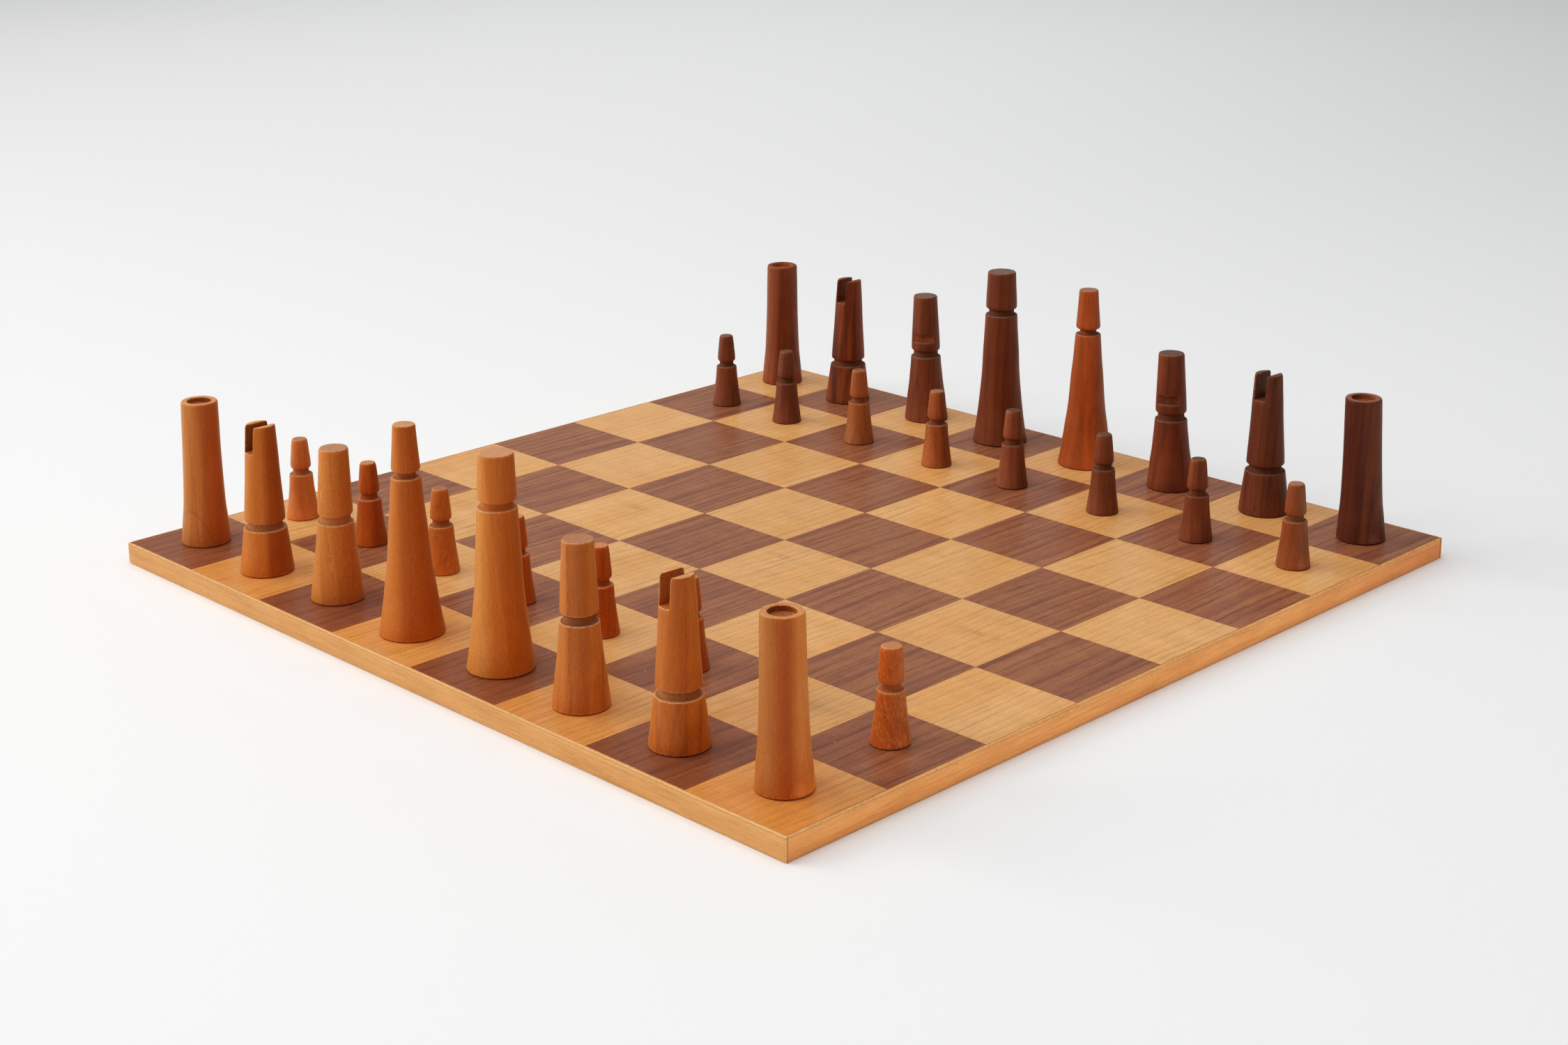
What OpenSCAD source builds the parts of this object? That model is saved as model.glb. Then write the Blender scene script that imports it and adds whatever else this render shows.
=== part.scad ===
// Turned wooden chess set on a thin veneered board.
// Frame: origin at the middle of the board's underside, +Z up,
// +X along the light side's back row from its left hand to its right hand,
// +Y from the light side towards the dark side.
// A square is named (i, j): i counts along +X and j along +Y, both from 0 to 7.

/* [Board] */
// Outside width of the board, along both sides
board_w = 397; // [380:1:400]
// Pitch of the squares
square_w = 50; // [48:0.5:52]
// Thickness of the core panel
core_t = 8; // [6:0.5:14]
// Thickness of the face squares and of the backing sheet
veneer_t = 0.6; // [0.4:0.1:1.5]
// Thickness of the four edge bands
band_t = 1; // [0.6:0.1:3]
// Width of the glue line between neighbouring squares
seam_w = 0.1; // [0.04:0.02:0.4]

/* [Pieces] */
// Height of the rooks
rook_h = 62.4; // [50:0.2:75]
// Height of the knights
knight_h = 62.8; // [50:0.2:75]
// Height of the bishops
bishop_h = 62.8; // [50:0.2:75]
// Height of the queens
queen_h = 83.6; // [65:0.2:100]
// Height of the kings
king_h = 83.6; // [65:0.2:100]
// Height of the pawns
pawn_h = 35.8; // [28:0.2:45]
// Thickness of every piece, as a share of the turned pattern
girth = 1; // [0.8:0.05:1.2]

/* [Rook top] */
// Radius of the round recess in a rook's top
recess_r = 5.05; // [3:0.05:6]
// Depth of the recess at its wall
recess_wall = 2.2; // [1:0.1:4]
// Extra depth of the dished floor at its middle
recess_dish = 0.8; // [0.2:0.1:2]

/* [Knight top] */
// Width of the slot sawn across a knight's head
slot_w = 5.6; // [3:0.1:7]
// Depth of that slot
slot_d = 11.2; // [6:0.1:20]

/* [Bishop notch] */
// Height of the notch's floor above the bishop's foot
notch_z = 40; // [38:0.5:50]
// Height of the notch's opening
notch_h = 4.2; // [2:0.1:8]
// Distance from the bishop's axis to the notch's flat back
notch_back = 4.2; // [2:0.1:5.5]

/* [Placing] */
// How far the pieces stand off the middles of their squares, as a share of the hand placing
looseness = 1; // [0:0.1:1]

/* [Hidden] */
$fn = 72;

// The panel inside the edge bands, the height of its face, and the half width of both
panel_w = board_w - 2 * band_t;
board_t = core_t + 2 * veneer_t;
eps = 0.5;

// Turned patterns: [height above the foot, radius] at each station of the turner's template
rook_pat = [[0, 10.1], [0.6, 10.3], [4, 10], [8, 9.7], [12, 9.3], [16, 8.9], [22, 8.6],
            [30, 8.3], [38, 8.05], [46, 7.9], [54, 7.8], [61.6, 7.65], [62.4, 7.3]];
knight_pat = [[0, 10.8], [0.6, 11.05], [3.5, 10.7], [7, 10.25], [11, 9.8], [15, 9.3], [18.6,
              8.85], [19, 8.7], [19.2, 7.2], [21.9, 7], [22.2, 8.1], [22.6, 8.3], [26,
              8.15], [32, 7.75], [38, 7.35], [44, 7], [50, 6.75], [56, 6.4], [61.8, 6.05],
              [62.8, 5.7]];
bishop_pat = [[0, 10.4], [0.6, 10.65], [4, 10.3], [8, 9.75], [12, 9.4], [16, 8.8], [20,
              8.3], [24, 7.95], [28, 7.55], [31.9, 7.3], [32.3, 7.15], [32.5, 6], [35.4,
              5.9], [35.7, 6.75], [36.1, 6.95], [38, 6.95], [42, 6.8], [48, 6.5], [54, 6.2],
              [58, 6], [62.2, 5.8], [62.8, 5.5]];
queen_pat = [[0, 12.6], [0.6, 12.8], [3.5, 12.25], [7, 11.6], [11, 11.05], [15, 10.45], [20,
             9.8], [26, 8.9], [32, 8.3], [38, 7.85], [44, 7.4], [50, 6.75], [56, 6.3],
             [62.35, 5.83], [62.75, 5.68], [62.95, 3.8], [65.05, 3.7], [65.35, 4.9], [65.95,
             5.5], [66.6, 5.55], [70, 5.3], [74, 5], [78, 4.7], [83, 4.4], [83.6, 4.15]];
king_pat = [[0, 12.7], [0.6, 12.95], [3.5, 12.4], [7, 11.9], [11, 11.35], [15, 10.85], [20,
            10.3], [26, 9.7], [32, 9.15], [38, 8.8], [44, 8.6], [50, 8.25], [56, 7.9],
            [62.4, 7.62], [62.8, 7.48], [63, 6.05], [65.5, 5.9], [65.8, 6.8], [66.4, 7.3],
            [67, 7.35], [72, 7.2], [78, 6.9], [82.8, 6.7], [83.6, 6.35]];
pawn_pat = [[0, 7], [0.5, 7.15], [3, 6.8], [6, 6.4], [9, 6], [12, 5.65], [15, 5.35], [19.6,
            5.05], [20, 4.9], [20.2, 3.5], [22.3, 3.4], [23.2, 4.32], [23.9, 4.4], [26.5,
            4.28], [29, 4], [32, 3.75], [34.9, 3.4], [35.8, 3]];

// Heights of the patterns as drawn, which the Pieces section stretches
function pat_h(p) = p[len(p) - 1][0];
function fitted(p, h) = [for (q = p) [q[1] * girth, q[0] * h / pat_h(p)]];

// The middle of a square, and a piece's foot near it: [i, j, offset x, offset y, turn]
function mid(i) = (i - 3.5) * square_w;

// ---- board ----

// One face square, trimmed where it meets the edge bands
module face_square(i, j) {
    x0 = max(-panel_w / 2, mid(i) - square_w / 2) + seam_w / 2;
    x1 = min(panel_w / 2, mid(i) + square_w / 2) - seam_w / 2;
    y0 = max(-panel_w / 2, mid(j) - square_w / 2) + seam_w / 2;
    y1 = min(panel_w / 2, mid(j) + square_w / 2) - seam_w / 2;
    translate([x0, y0, veneer_t + core_t]) cube([x1 - x0, y1 - y0, veneer_t]);
}

// Every face square whose i + j leaves the given remainder
module face_squares(odd) {
    for (i = [0:7]) for (j = [0:7]) if ((i + j) % 2 == odd) face_square(i, j);
}

module core_panel() {
    color("burlywood")
    translate([-panel_w / 2, -panel_w / 2, veneer_t]) cube([panel_w, panel_w, core_t]);
}

module backing_veneer() {
    color("peru")
    translate([-panel_w / 2, -panel_w / 2, 0]) cube([panel_w, panel_w, veneer_t]);
}

module light_squares() { color("#DDAE74") face_squares(1); }
module dark_squares() { color("#8A5F4B") face_squares(0); }

// A long band covers the ends of the two short ones
module long_band(side) {
    translate([-board_w / 2, side > 0 ? panel_w / 2 : -board_w / 2, 0])
        cube([board_w, band_t, board_t]);
}

module short_band(side) {
    translate([side > 0 ? panel_w / 2 : -board_w / 2, -panel_w / 2, 0])
        cube([band_t, panel_w, board_t]);
}

module edge_band_light_side() { color("#D79A5A") long_band(-1); }
module edge_band_dark_side() { color("#D79A5A") long_band(1); }
module edge_band_left() { color("#CF8F50") short_band(-1); }
module edge_band_right() { color("#CF8F50") short_band(1); }

// ---- pieces ----

// A solid turned from a pattern: a closed outline from the axis out and back
module turned(p, h) {
    rotate_extrude()
        polygon(concat([[0, 0]], fitted(p, h), [[0, h]]));
}

// Puts a piece on its square, on the face of the board
module on_square(i, j, dx = 0, dy = 0, turn = 0) {
    translate([mid(i) + dx * looseness, mid(j) + dy * looseness, board_t])
        rotate([0, 0, turn]) children();
}

// Plain tapering tower with a round recess in its top
module rook() {
    difference() {
        turned(rook_pat, rook_h);
        rotate_extrude()
            polygon([[0, rook_h - recess_wall - recess_dish],
                     [recess_r * 0.5, rook_h - recess_wall - recess_dish * 0.7],
                     [recess_r, rook_h - recess_wall],
                     [recess_r, rook_h + eps], [0, rook_h + eps]]);
    }
}

// Body, groove and tall head, with a slot sawn across the head along Y
module knight() {
    difference() {
        turned(knight_pat, knight_h);
        translate([-slot_w / 2, -15 * girth, knight_h - slot_d])
            cube([slot_w, 30 * girth, slot_d + eps]);
    }
}

// Body, groove and tapering head, with a square notch in the head's +Y side
module bishop() {
    difference() {
        turned(bishop_pat, bishop_h);
        translate([-15 * girth, notch_back, notch_z])
            cube([30 * girth, 15 * girth, notch_h]);
    }
}

module queen() { turned(queen_pat, queen_h); }
module king() { turned(king_pat, king_h); }
module pawn() { turned(pawn_pat, pawn_h); }

// Light side, back row
module light_rook_a() { color("#B5652B") on_square(0, 0, -1.42, 1.58) rook(); }
module light_knight_b() { color("#B5652B") on_square(1, 0, -2, -0.5, -1) knight(); }
module light_bishop_c() { color("#B5652B") on_square(2, 0, -4.7, 1.3, 16) bishop(); }
module light_queen() { color("#B5652B") on_square(3, 0, -3.5, 0) queen(); }
module light_king() { color("#B5652B") on_square(4, 0, -1.1, 1.7) king(); }
module light_bishop_f() { color("#B5652B") on_square(5, 0, -2.83, -0.33, 20) bishop(); }
module light_knight_g() { color("#B5652B") on_square(6, 0, -2.5, 1, -4) knight(); }
module light_rook_h() { color("#B5652B") on_square(7, 0, -2.5, 2) rook(); }
// Light side, pawns
module light_pawn_a() { color("#B5652B") on_square(0, 1, 1.5, -1.2) pawn(); }
module light_pawn_b() { color("#B5652B") on_square(1, 1, 1, -0.5) pawn(); }
module light_pawn_c() { color("#B5652B") on_square(2, 1, 0.7, -0.4) pawn(); }
module light_pawn_d() { color("#B5652B") on_square(3, 1, 0.1, -0.6) pawn(); }
module light_pawn_e() { color("#B5652B") on_square(4, 1, 0, 0.05) pawn(); }
module light_pawn_f() { color("#B5652B") on_square(5, 1, -0.2, 0.5) pawn(); }
module light_pawn_g() { color("#B5652B") on_square(6, 1, -0.6, -0.1) pawn(); }
module light_pawn_h() { color("#B5652B") on_square(7, 1, -2, 3) pawn(); }
// Dark side, back row
module dark_rook_a() { color("#5A2715") on_square(0, 7, -2.5, 1) rook(); }
module dark_knight_b() { color("#5A2715") on_square(1, 7, -4.15, -0.15) knight(); }
module dark_bishop_c() { color("#5A2715") on_square(2, 7, -3, 3, -150) bishop(); }
module dark_king() { color("#5A2715") on_square(3, 7, -2.9, 0.1) king(); }
module dark_queen() { color("#9A4418") on_square(4, 7, -0.62, -0.12) queen(); }
module dark_bishop_f() { color("#5A2715") on_square(5, 7, -1.2, -0.7, -157) bishop(); }
module dark_knight_g() { color("#5A2715") on_square(6, 7, -1.4, 0.1, -2) knight(); }
module dark_rook_h() { color("#5A2715") on_square(7, 7, -1.19, -1.19) rook(); }
// Dark side, pawns
module dark_pawn_a() { color("#5A2715") on_square(0, 6, 7.3, 1.3) pawn(); }
module dark_pawn_b() { color("#5A2715") on_square(1, 6, 0.8, 0.8) pawn(); }
module dark_pawn_c() { color("#7A3818") on_square(2, 6, 0.15, 0.65) pawn(); }
module dark_pawn_d() { color("#5A2715") on_square(3, 6, 1, -0.5) pawn(); }
module dark_pawn_e() { color("#5A2715") on_square(4, 6, -3.5, 0) pawn(); }
module dark_pawn_f() { color("#5A2715") on_square(5, 6, -1.5, -0.5) pawn(); }
module dark_pawn_g() { color("#5A2715") on_square(6, 6, -0.85, -1.35) pawn(); }
module dark_pawn_h() { color("#5A2715") on_square(7, 6, -2.5, -0.5) pawn(); }

core_panel();
backing_veneer();
light_squares();
dark_squares();
edge_band_light_side();
edge_band_dark_side();
edge_band_left();
edge_band_right();
light_rook_a();
light_knight_b();
light_bishop_c();
light_queen();
light_king();
light_bishop_f();
light_knight_g();
light_rook_h();
light_pawn_a();
light_pawn_b();
light_pawn_c();
light_pawn_d();
light_pawn_e();
light_pawn_f();
light_pawn_g();
light_pawn_h();
dark_rook_a();
dark_knight_b();
dark_bishop_c();
dark_king();
dark_queen();
dark_bishop_f();
dark_knight_g();
dark_rook_h();
dark_pawn_a();
dark_pawn_b();
dark_pawn_c();
dark_pawn_d();
dark_pawn_e();
dark_pawn_f();
dark_pawn_g();
dark_pawn_h();
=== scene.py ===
import math
import bpy
import bmesh
import numpy as np
from mathutils import Matrix, Vector, noise


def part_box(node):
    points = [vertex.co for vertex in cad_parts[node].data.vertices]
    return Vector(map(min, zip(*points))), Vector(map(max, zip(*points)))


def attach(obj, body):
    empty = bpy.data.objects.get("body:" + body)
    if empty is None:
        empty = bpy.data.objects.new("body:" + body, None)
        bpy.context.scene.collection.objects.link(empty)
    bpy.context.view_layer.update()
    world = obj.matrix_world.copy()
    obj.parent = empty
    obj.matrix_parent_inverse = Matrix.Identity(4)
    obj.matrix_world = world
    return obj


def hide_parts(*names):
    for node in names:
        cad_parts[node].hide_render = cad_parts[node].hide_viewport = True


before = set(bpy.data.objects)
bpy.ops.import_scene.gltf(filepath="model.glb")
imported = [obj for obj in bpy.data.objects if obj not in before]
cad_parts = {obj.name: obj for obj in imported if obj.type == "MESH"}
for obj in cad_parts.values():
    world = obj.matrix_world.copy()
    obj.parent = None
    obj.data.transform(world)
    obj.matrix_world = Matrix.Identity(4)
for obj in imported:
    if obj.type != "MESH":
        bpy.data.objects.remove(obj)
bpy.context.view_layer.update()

MM = 0.001
scene = bpy.context.scene
scene.view_settings.view_transform = "Standard"
scene.view_settings.look = "None"


# the photograph's contrast: what is half lit goes darker and more saturated than plain sRGB makes it
CURVE = ((0.0, 0.0), (0.01, 0.0035), (0.02, 0.0086), (0.05, 0.0282), (0.1, 0.0690), (0.2, 0.170), (0.4, 0.385), (0.7, 0.692), (1.0, 1.0))
scene.view_settings.use_curve_mapping = True
shape = scene.view_settings.curve_mapping
combined = shape.curves[3]
combined.points[0].location, combined.points[1].location = CURVE[0], CURVE[-1]
for p_ in CURVE[1:-1]:
    combined.points.new(*p_)
shape.update()


def lin(r, g, b):
    """A colour given in display values, 0 to 255, as the linear RGBA that the contrast curve turns into it."""
    y = [(v / 255 / 12.92) if v <= 10 else ((v / 255 + 0.055) / 1.055) ** 2.4 for v in (r, g, b)]
    xs, ys = np.log([c[0] for c in CURVE[1:]]), np.log([c[1] for c in CURVE[1:]])
    return tuple(float(np.exp(np.interp(math.log(max(v, 1e-4)), ys, xs))) for v in y) + (1.0,)


# ------------------------------------------------------------------ camera
cam_data = bpy.data.cameras.new("camera")
cam = bpy.data.objects.new("camera", cam_data)
scene.collection.objects.link(cam)
cam_data.sensor_width = 36.0
cam_data.lens = 56.350
cam_data.shift_x, cam_data.shift_y = 0.0, -0.13333
cam_data.clip_start, cam_data.clip_end = 0.02, 60.0
right = Vector((0.70770877, 0.70649454, -0.00371037)).normalized()
back = Vector((0.68542652, -0.68531237, 0.24604358)).normalized()
up = back.cross(right).normalized()
cam.matrix_world = Matrix(((right.x, up.x, back.x, 0.701548),
                           (right.y, up.y, back.y, -0.701481),
                           (right.z, up.z, back.z, 0.360814),
                           (0, 0, 0, 1)))
scene.camera = cam

# ------------------------------------------------------------------ light
world = bpy.data.worlds.new("studio")
world.use_nodes = True
scene.world = world
wn, wl = world.node_tree.nodes, world.node_tree.links
wn.clear()
w_out = wn.new("ShaderNodeOutputWorld")
w_bg = wn.new("ShaderNodeBackground")
w_bg.inputs["Color"].default_value = (0.965, 0.985, 1.0, 1.0)
wl.new(w_bg.outputs[0], w_out.inputs[0])


def w_math(op, a, b, c=None):
    m = wn.new("ShaderNodeMath")
    m.operation = op
    for s, v in zip(m.inputs, (a, b, c)):
        if isinstance(v, bpy.types.NodeSocket):
            wl.new(v, s)
        elif v is not None:
            s.default_value = v
    return m.outputs[0]


# the surroundings: brighter on the far side and on the left, darker on the near side, soft white from above
w_dir = wn.new("ShaderNodeTexCoord").outputs["Generated"]
w_xyz = wn.new("ShaderNodeSeparateXYZ")
wl.new(w_dir, w_xyz.inputs[0])
wx, wy, wz = w_xyz.outputs[0], w_xyz.outputs[1], w_xyz.outputs[2]
far_side = w_math("MULTIPLY", w_math("SUBTRACT", wy, wx), 0.7071)
left_side = w_math("MULTIPLY", w_math("ADD", wy, wx), -0.7071)
glow = w_math("MULTIPLY_ADD", far_side, 0.20, 0.17)
glow = w_math("MULTIPLY_ADD", left_side, 0.12, glow)
glow = w_math("MULTIPLY_ADD", w_math("MAXIMUM", wz, 0.0), 0.36, glow)
wl.new(w_math("MAXIMUM", glow, 0.03), w_bg.inputs["Strength"])


def area(name, at, look, size_x, size_y, power, colour=(1, 1, 1), spread=180):
    d = bpy.data.lights.new(name, "AREA")
    d.shape, d.size, d.size_y = "RECTANGLE", size_x, size_y
    d.energy, d.color, d.spread = power, colour, math.radians(spread)
    o = bpy.data.objects.new(name, d)
    scene.collection.objects.link(o)
    o.location = at
    o.rotation_mode = "QUATERNION"
    o.rotation_quaternion = (Vector(look) - Vector(at)).to_track_quat("-Z", "Y")
    return o


area("window", (-1.755, -1.4175, 1.2755), (0, 0, 0.02), 2.03, 1.49, 31.7, (1.0, 0.985, 0.96))
area("overhead", (0.1, -0.25, 1.5), (0, -0.05, 0), 1.8, 1.8, 15.0, (1.0, 1.0, 1.0))
area("rear", (-1.35, 1.35, 1.3), (-1.35, 1.351, 0), 1.6, 1.6, 2.3, (1.0, 1.0, 1.0), 90)
# a low soft strip of light beside the right-hand edge
area("low_strip", (0.262, 0.0, 0.0045), (0.1985, 0.0, 0.0050), 0.46, 0.006, 0.0063, (1.0, 0.99, 0.97), 15)


# ------------------------------------------------------------------ material helper
class Net:
    """A material's nodes, written as expressions. Numbers are set on sockets and node outputs are linked."""

    def __init__(self, name):
        self.mat = bpy.data.materials.new(name)
        self.mat.use_nodes = True
        self.t = self.mat.node_tree
        self.t.nodes.clear()
        self.out = self.t.nodes.new("ShaderNodeOutputMaterial")
        self.bsdf = self.t.nodes.new("ShaderNodeBsdfPrincipled")
        self.t.links.new(self.bsdf.outputs[0], self.out.inputs["Surface"])

    def put(self, sock, v):
        if isinstance(v, bpy.types.NodeSocket):
            self.t.links.new(v, sock)
        else:
            sock.default_value = v

    def math(self, op, a, b=None, c=None, clamp=False):
        n = self.t.nodes.new("ShaderNodeMath")
        n.operation, n.use_clamp = op, clamp
        self.put(n.inputs[0], a)
        if b is not None:
            self.put(n.inputs[1], b)
        if c is not None:
            self.put(n.inputs[2], c)
        return n.outputs[0]

    def add(self, a, b):
        return self.math("ADD", a, b)

    def sub(self, a, b):
        return self.math("SUBTRACT", a, b)

    def mul(self, a, b, clamp=False):
        return self.math("MULTIPLY", a, b, clamp=clamp)

    def mad(self, a, b, c):
        return self.math("MULTIPLY_ADD", a, b, c)

    def vec(self, op, a, b=None):
        n = self.t.nodes.new("ShaderNodeVectorMath")
        n.operation = op
        self.put(n.inputs[0], a)
        if b is not None:
            self.put(n.inputs[1], b)
        return n.outputs["Value"] if op in ("LENGTH", "DOT_PRODUCT", "DISTANCE") else n.outputs["Vector"]

    def xyz(self, v):
        n = self.t.nodes.new("ShaderNodeSeparateXYZ")
        self.put(n.inputs[0], v)
        return n.outputs[0], n.outputs[1], n.outputs[2]

    def combine(self, x, y, z):
        n = self.t.nodes.new("ShaderNodeCombineXYZ")
        for s, v in zip(n.inputs, (x, y, z)):
            self.put(s, v)
        return n.outputs[0]

    def noise(self, v, scale=1.0, detail=2.0, rough=0.5, distortion=0.0, colour=False):
        n = self.t.nodes.new("ShaderNodeTexNoise")
        n.noise_dimensions = "3D"
        self.put(n.inputs["Vector"], v)
        n.inputs["Scale"].default_value = scale
        n.inputs["Detail"].default_value = detail
        n.inputs["Roughness"].default_value = rough
        n.inputs["Distortion"].default_value = distortion
        return n.outputs["Color" if colour else "Fac"]

    def cells(self, v, scale=1.0):
        """Distance to the nearest cell point, and that cell's random colour."""
        n = self.t.nodes.new("ShaderNodeTexVoronoi")
        n.feature = "F1"
        self.put(n.inputs["Vector"], v)
        n.inputs["Scale"].default_value = scale
        return n.outputs["Distance"], n.outputs["Color"]

    def step(self, x, lo, hi, a=0.0, b=1.0):
        n = self.t.nodes.new("ShaderNodeMapRange")
        n.interpolation_type, n.clamp = "SMOOTHSTEP", True
        self.put(n.inputs["Value"], x)
        n.inputs["From Min"].default_value, n.inputs["From Max"].default_value = lo, hi
        n.inputs["To Min"].default_value, n.inputs["To Max"].default_value = a, b
        return n.outputs["Result"]

    def mix(self, fac, a, b, mode="MIX"):
        n = self.t.nodes.new("ShaderNodeMix")
        n.data_type, n.blend_type, n.clamp_factor = "RGBA", mode, True
        self.put(n.inputs[0], fac)
        self.put(n.inputs[6], a)
        self.put(n.inputs[7], b)
        return n.outputs[2]

    def scale_colour(self, c, k):
        """A colour times a factor, such as 1 with some noise."""
        n = self.t.nodes.new("ShaderNodeVectorMath")
        n.operation = "SCALE"
        self.put(n.inputs[0], c)
        self.put(n.inputs["Scale"], k)
        return n.outputs["Vector"]

    def attr(self, name):
        n = self.t.nodes.new("ShaderNodeAttribute")
        n.attribute_type, n.attribute_name = "GEOMETRY", name
        return n

    def coord(self, which="Object"):
        return self.t.nodes.new("ShaderNodeTexCoord").outputs[which]

    def mapping(self, v, loc=(0, 0, 0), rot=(0, 0, 0), scale=(1, 1, 1)):
        n = self.t.nodes.new("ShaderNodeMapping")
        n.vector_type = "POINT"
        self.put(n.inputs["Vector"], v)
        n.inputs["Location"].default_value = loc
        n.inputs["Rotation"].default_value = rot
        n.inputs["Scale"].default_value = scale
        return n.outputs[0]

    def bump(self, height, distance, strength=1.0):
        n = self.t.nodes.new("ShaderNodeBump")
        n.inputs["Strength"].default_value = strength
        n.inputs["Distance"].default_value = distance
        self.put(n.inputs["Height"], height)
        return n.outputs[0]

    def finish(self, colour, rough, normal=None, specular=0.5, coat=0.0, coat_rough=0.2):
        b = self.bsdf
        self.put(b.inputs["Base Color"], colour)
        self.put(b.inputs["Roughness"], rough)
        b.inputs["Specular IOR Level"].default_value = specular
        b.inputs["Coat Weight"].default_value = coat
        b.inputs["Coat Roughness"].default_value = coat_rough
        if normal is not None:
            self.put(b.inputs["Normal"], normal)
        return self.mat


# ------------------------------------------------------------------ board materials
def light_veneer():
    """Honey-coloured straight-grained veneer. The grain attribute holds millimetres across and along the grain."""
    n = Net("light_veneer_finish")
    g = n.attr("grain").outputs["Vector"]
    u, v, seed = n.xyz(g)
    slow = n.noise(n.combine(n.mul(u, 0.02), n.mul(v, 0.006), 3.1), detail=1)
    wav = n.noise(n.combine(n.mul(u, 0.16), n.mul(v, 0.022), 7.7), detail=2)
    u1 = n.add(n.mad(slow, 15.0, u), n.mul(wav, 2.2))
    # growth lines: uneven spacing, each darkens slowly and ends sharply
    t = n.add(n.mul(u1, 0.25), n.mul(n.noise(n.combine(n.mul(u1, 0.09), n.mul(v, 0.002), 1.3), detail=2), 2.4))
    f = n.math("FRACT", t)
    line = n.mul(n.step(f, 0.78, 0.95), n.step(f, 0.95, 1.0, 1.0, 0.0))
    broad = n.mul(n.step(f, 0.15, 0.85), n.step(f, 0.9, 1.0, 1.0, 0.0))
    gate = n.step(n.noise(n.combine(n.mul(u1, 0.4), n.mul(v, 0.035), 11.0), detail=3, rough=0.6), 0.36, 0.68, 0.08, 1.0)
    line = n.mul(line, gate)
    t2 = n.add(n.mul(u1, 0.62), n.mul(n.noise(n.combine(n.mul(u1, 0.3), n.mul(v, 0.006), 5.3), detail=2), 3.0))
    f2 = n.math("FRACT", t2)
    fine = n.mul(n.step(f2, 0.5, 0.9), n.step(f2, 0.9, 1.0, 1.0, 0.0))
    fine = n.mul(fine, n.step(n.noise(n.combine(n.mul(u1, 0.5), n.mul(v, 0.03), 2.0), detail=2), 0.38, 0.7))
    fibre = n.noise(n.combine(n.mul(u, 2.6), n.mul(v, 0.09), 4.0), detail=3, rough=0.6)
    pore = n.step(n.noise(n.combine(n.mul(u, 3.4), n.mul(v, 0.42), 9.0), detail=1), 0.64, 0.72)
    flame = n.noise(n.combine(n.mul(u, 0.05), n.mul(v, 0.12), 6.0), detail=2)
    warm = n.noise(n.combine(n.mul(u, 0.05), n.mul(v, 0.008), 8.0), detail=1)
    c = n.mix(n.step(warm, 0.35, 0.7), lin(222, 167, 104), lin(219, 158, 90))
    bx, by, bz = n.xyz(n.vec("MULTIPLY", n.coord("Object"), (1000.0, 1000.0, 1000.0)))
    # more orange towards the light side's edge, most of all at its right-hand corner: partly a yellowed finish, partly
    # a painted warm reflection of the light men standing there
    c = n.mix(n.step(by, -190.0, -135.0, 0.72, 0.0), c, lin(216, 140, 63))
    c = n.mix(n.mul(n.step(by, -200.0, -120.0, 0.6, 0.0), n.step(bx, 80.0, 190.0)), c, lin(216, 132, 52))
    c = n.mix(n.mul(broad, 0.16), c, lin(186, 122, 66))
    c = n.mix(n.mul(line, 0.68), c, lin(168, 104, 56))
    dash = n.step(n.noise(n.combine(n.mul(u, 1.9), n.mul(v, 0.055), 14.0), detail=2, rough=0.6), 0.60, 0.70)
    c = n.mix(n.mul(dash, 0.36), c, lin(170, 106, 58))
    # the row along the light side has stronger orange-brown lines
    stripe = n.step(n.noise(n.combine(n.mul(u1, 0.55), n.mul(v, 0.010), 44.0), detail=2, rough=0.6), 0.50, 0.64)
    c = n.mix(n.mul(stripe, n.step(by, -160.0, -130.0, 0.42, 0.0)), c, lin(190, 106, 44))
    c = n.mix(n.mul(fine, 0.30), c, lin(182, 120, 66))
    c = n.mix(n.mul(pore, 0.42), c, lin(166, 108, 58))
    grain = n.noise(n.combine(n.mul(u, 2.4), n.mul(v, 0.9), 19.0), detail=2, rough=0.7)
    c = n.scale_colour(c, n.mad(grain, 0.46, 0.78))
    bright = n.add(n.add(n.mad(fibre, 0.56, 0.72), n.mad(flame, 0.24, -0.12)), n.mad(seed, 0.10, -0.05))
    c = n.scale_colour(c, bright)
    # brown marks across the grain on a few squares: place, half length and half width in board millimetres
    stroke = n.noise(n.combine(n.mul(bx, 0.9), n.mul(by, 0.14), 2.0), detail=2)
    smudge = n.noise(n.combine(n.mul(bx, 0.11), n.mul(by, 0.35), 5.0), detail=2)
    for mx, my, hl, hw, k in ((-79, -15, 16, 3.2, 0.5), (17, -15.5, 16, 3.0, 0.5), (129.5, -23.5, 14, 2.6, 0.6), (25, -1.6, 8, 1.0, 0.45),
                              (-170, -37, 5, 4, 0.25), (-113, -181, 5, 5, 0.3), (-40, -58, 3, 4, 0.3), (58, 48.5, 5, 0.8, 0.4)):
        ex, ey = n.mul(n.sub(bx, float(mx)), 1.0 / hl), n.mul(n.sub(by, float(my)), 1.0 / hw)
        near = n.step(n.math("SQRT", n.add(n.mul(ex, ex), n.mul(ey, ey))), 0.35, 1.1, 1.0, 0.0)
        blot = n.mul(n.mul(near, k), n.mul(n.step(stroke, 0.38, 0.62, 0.25, 1.0), n.step(smudge, 0.35, 0.6, 0.2, 1.0)))
        c = n.mix(blot, c, lin(176, 108, 60))
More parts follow.
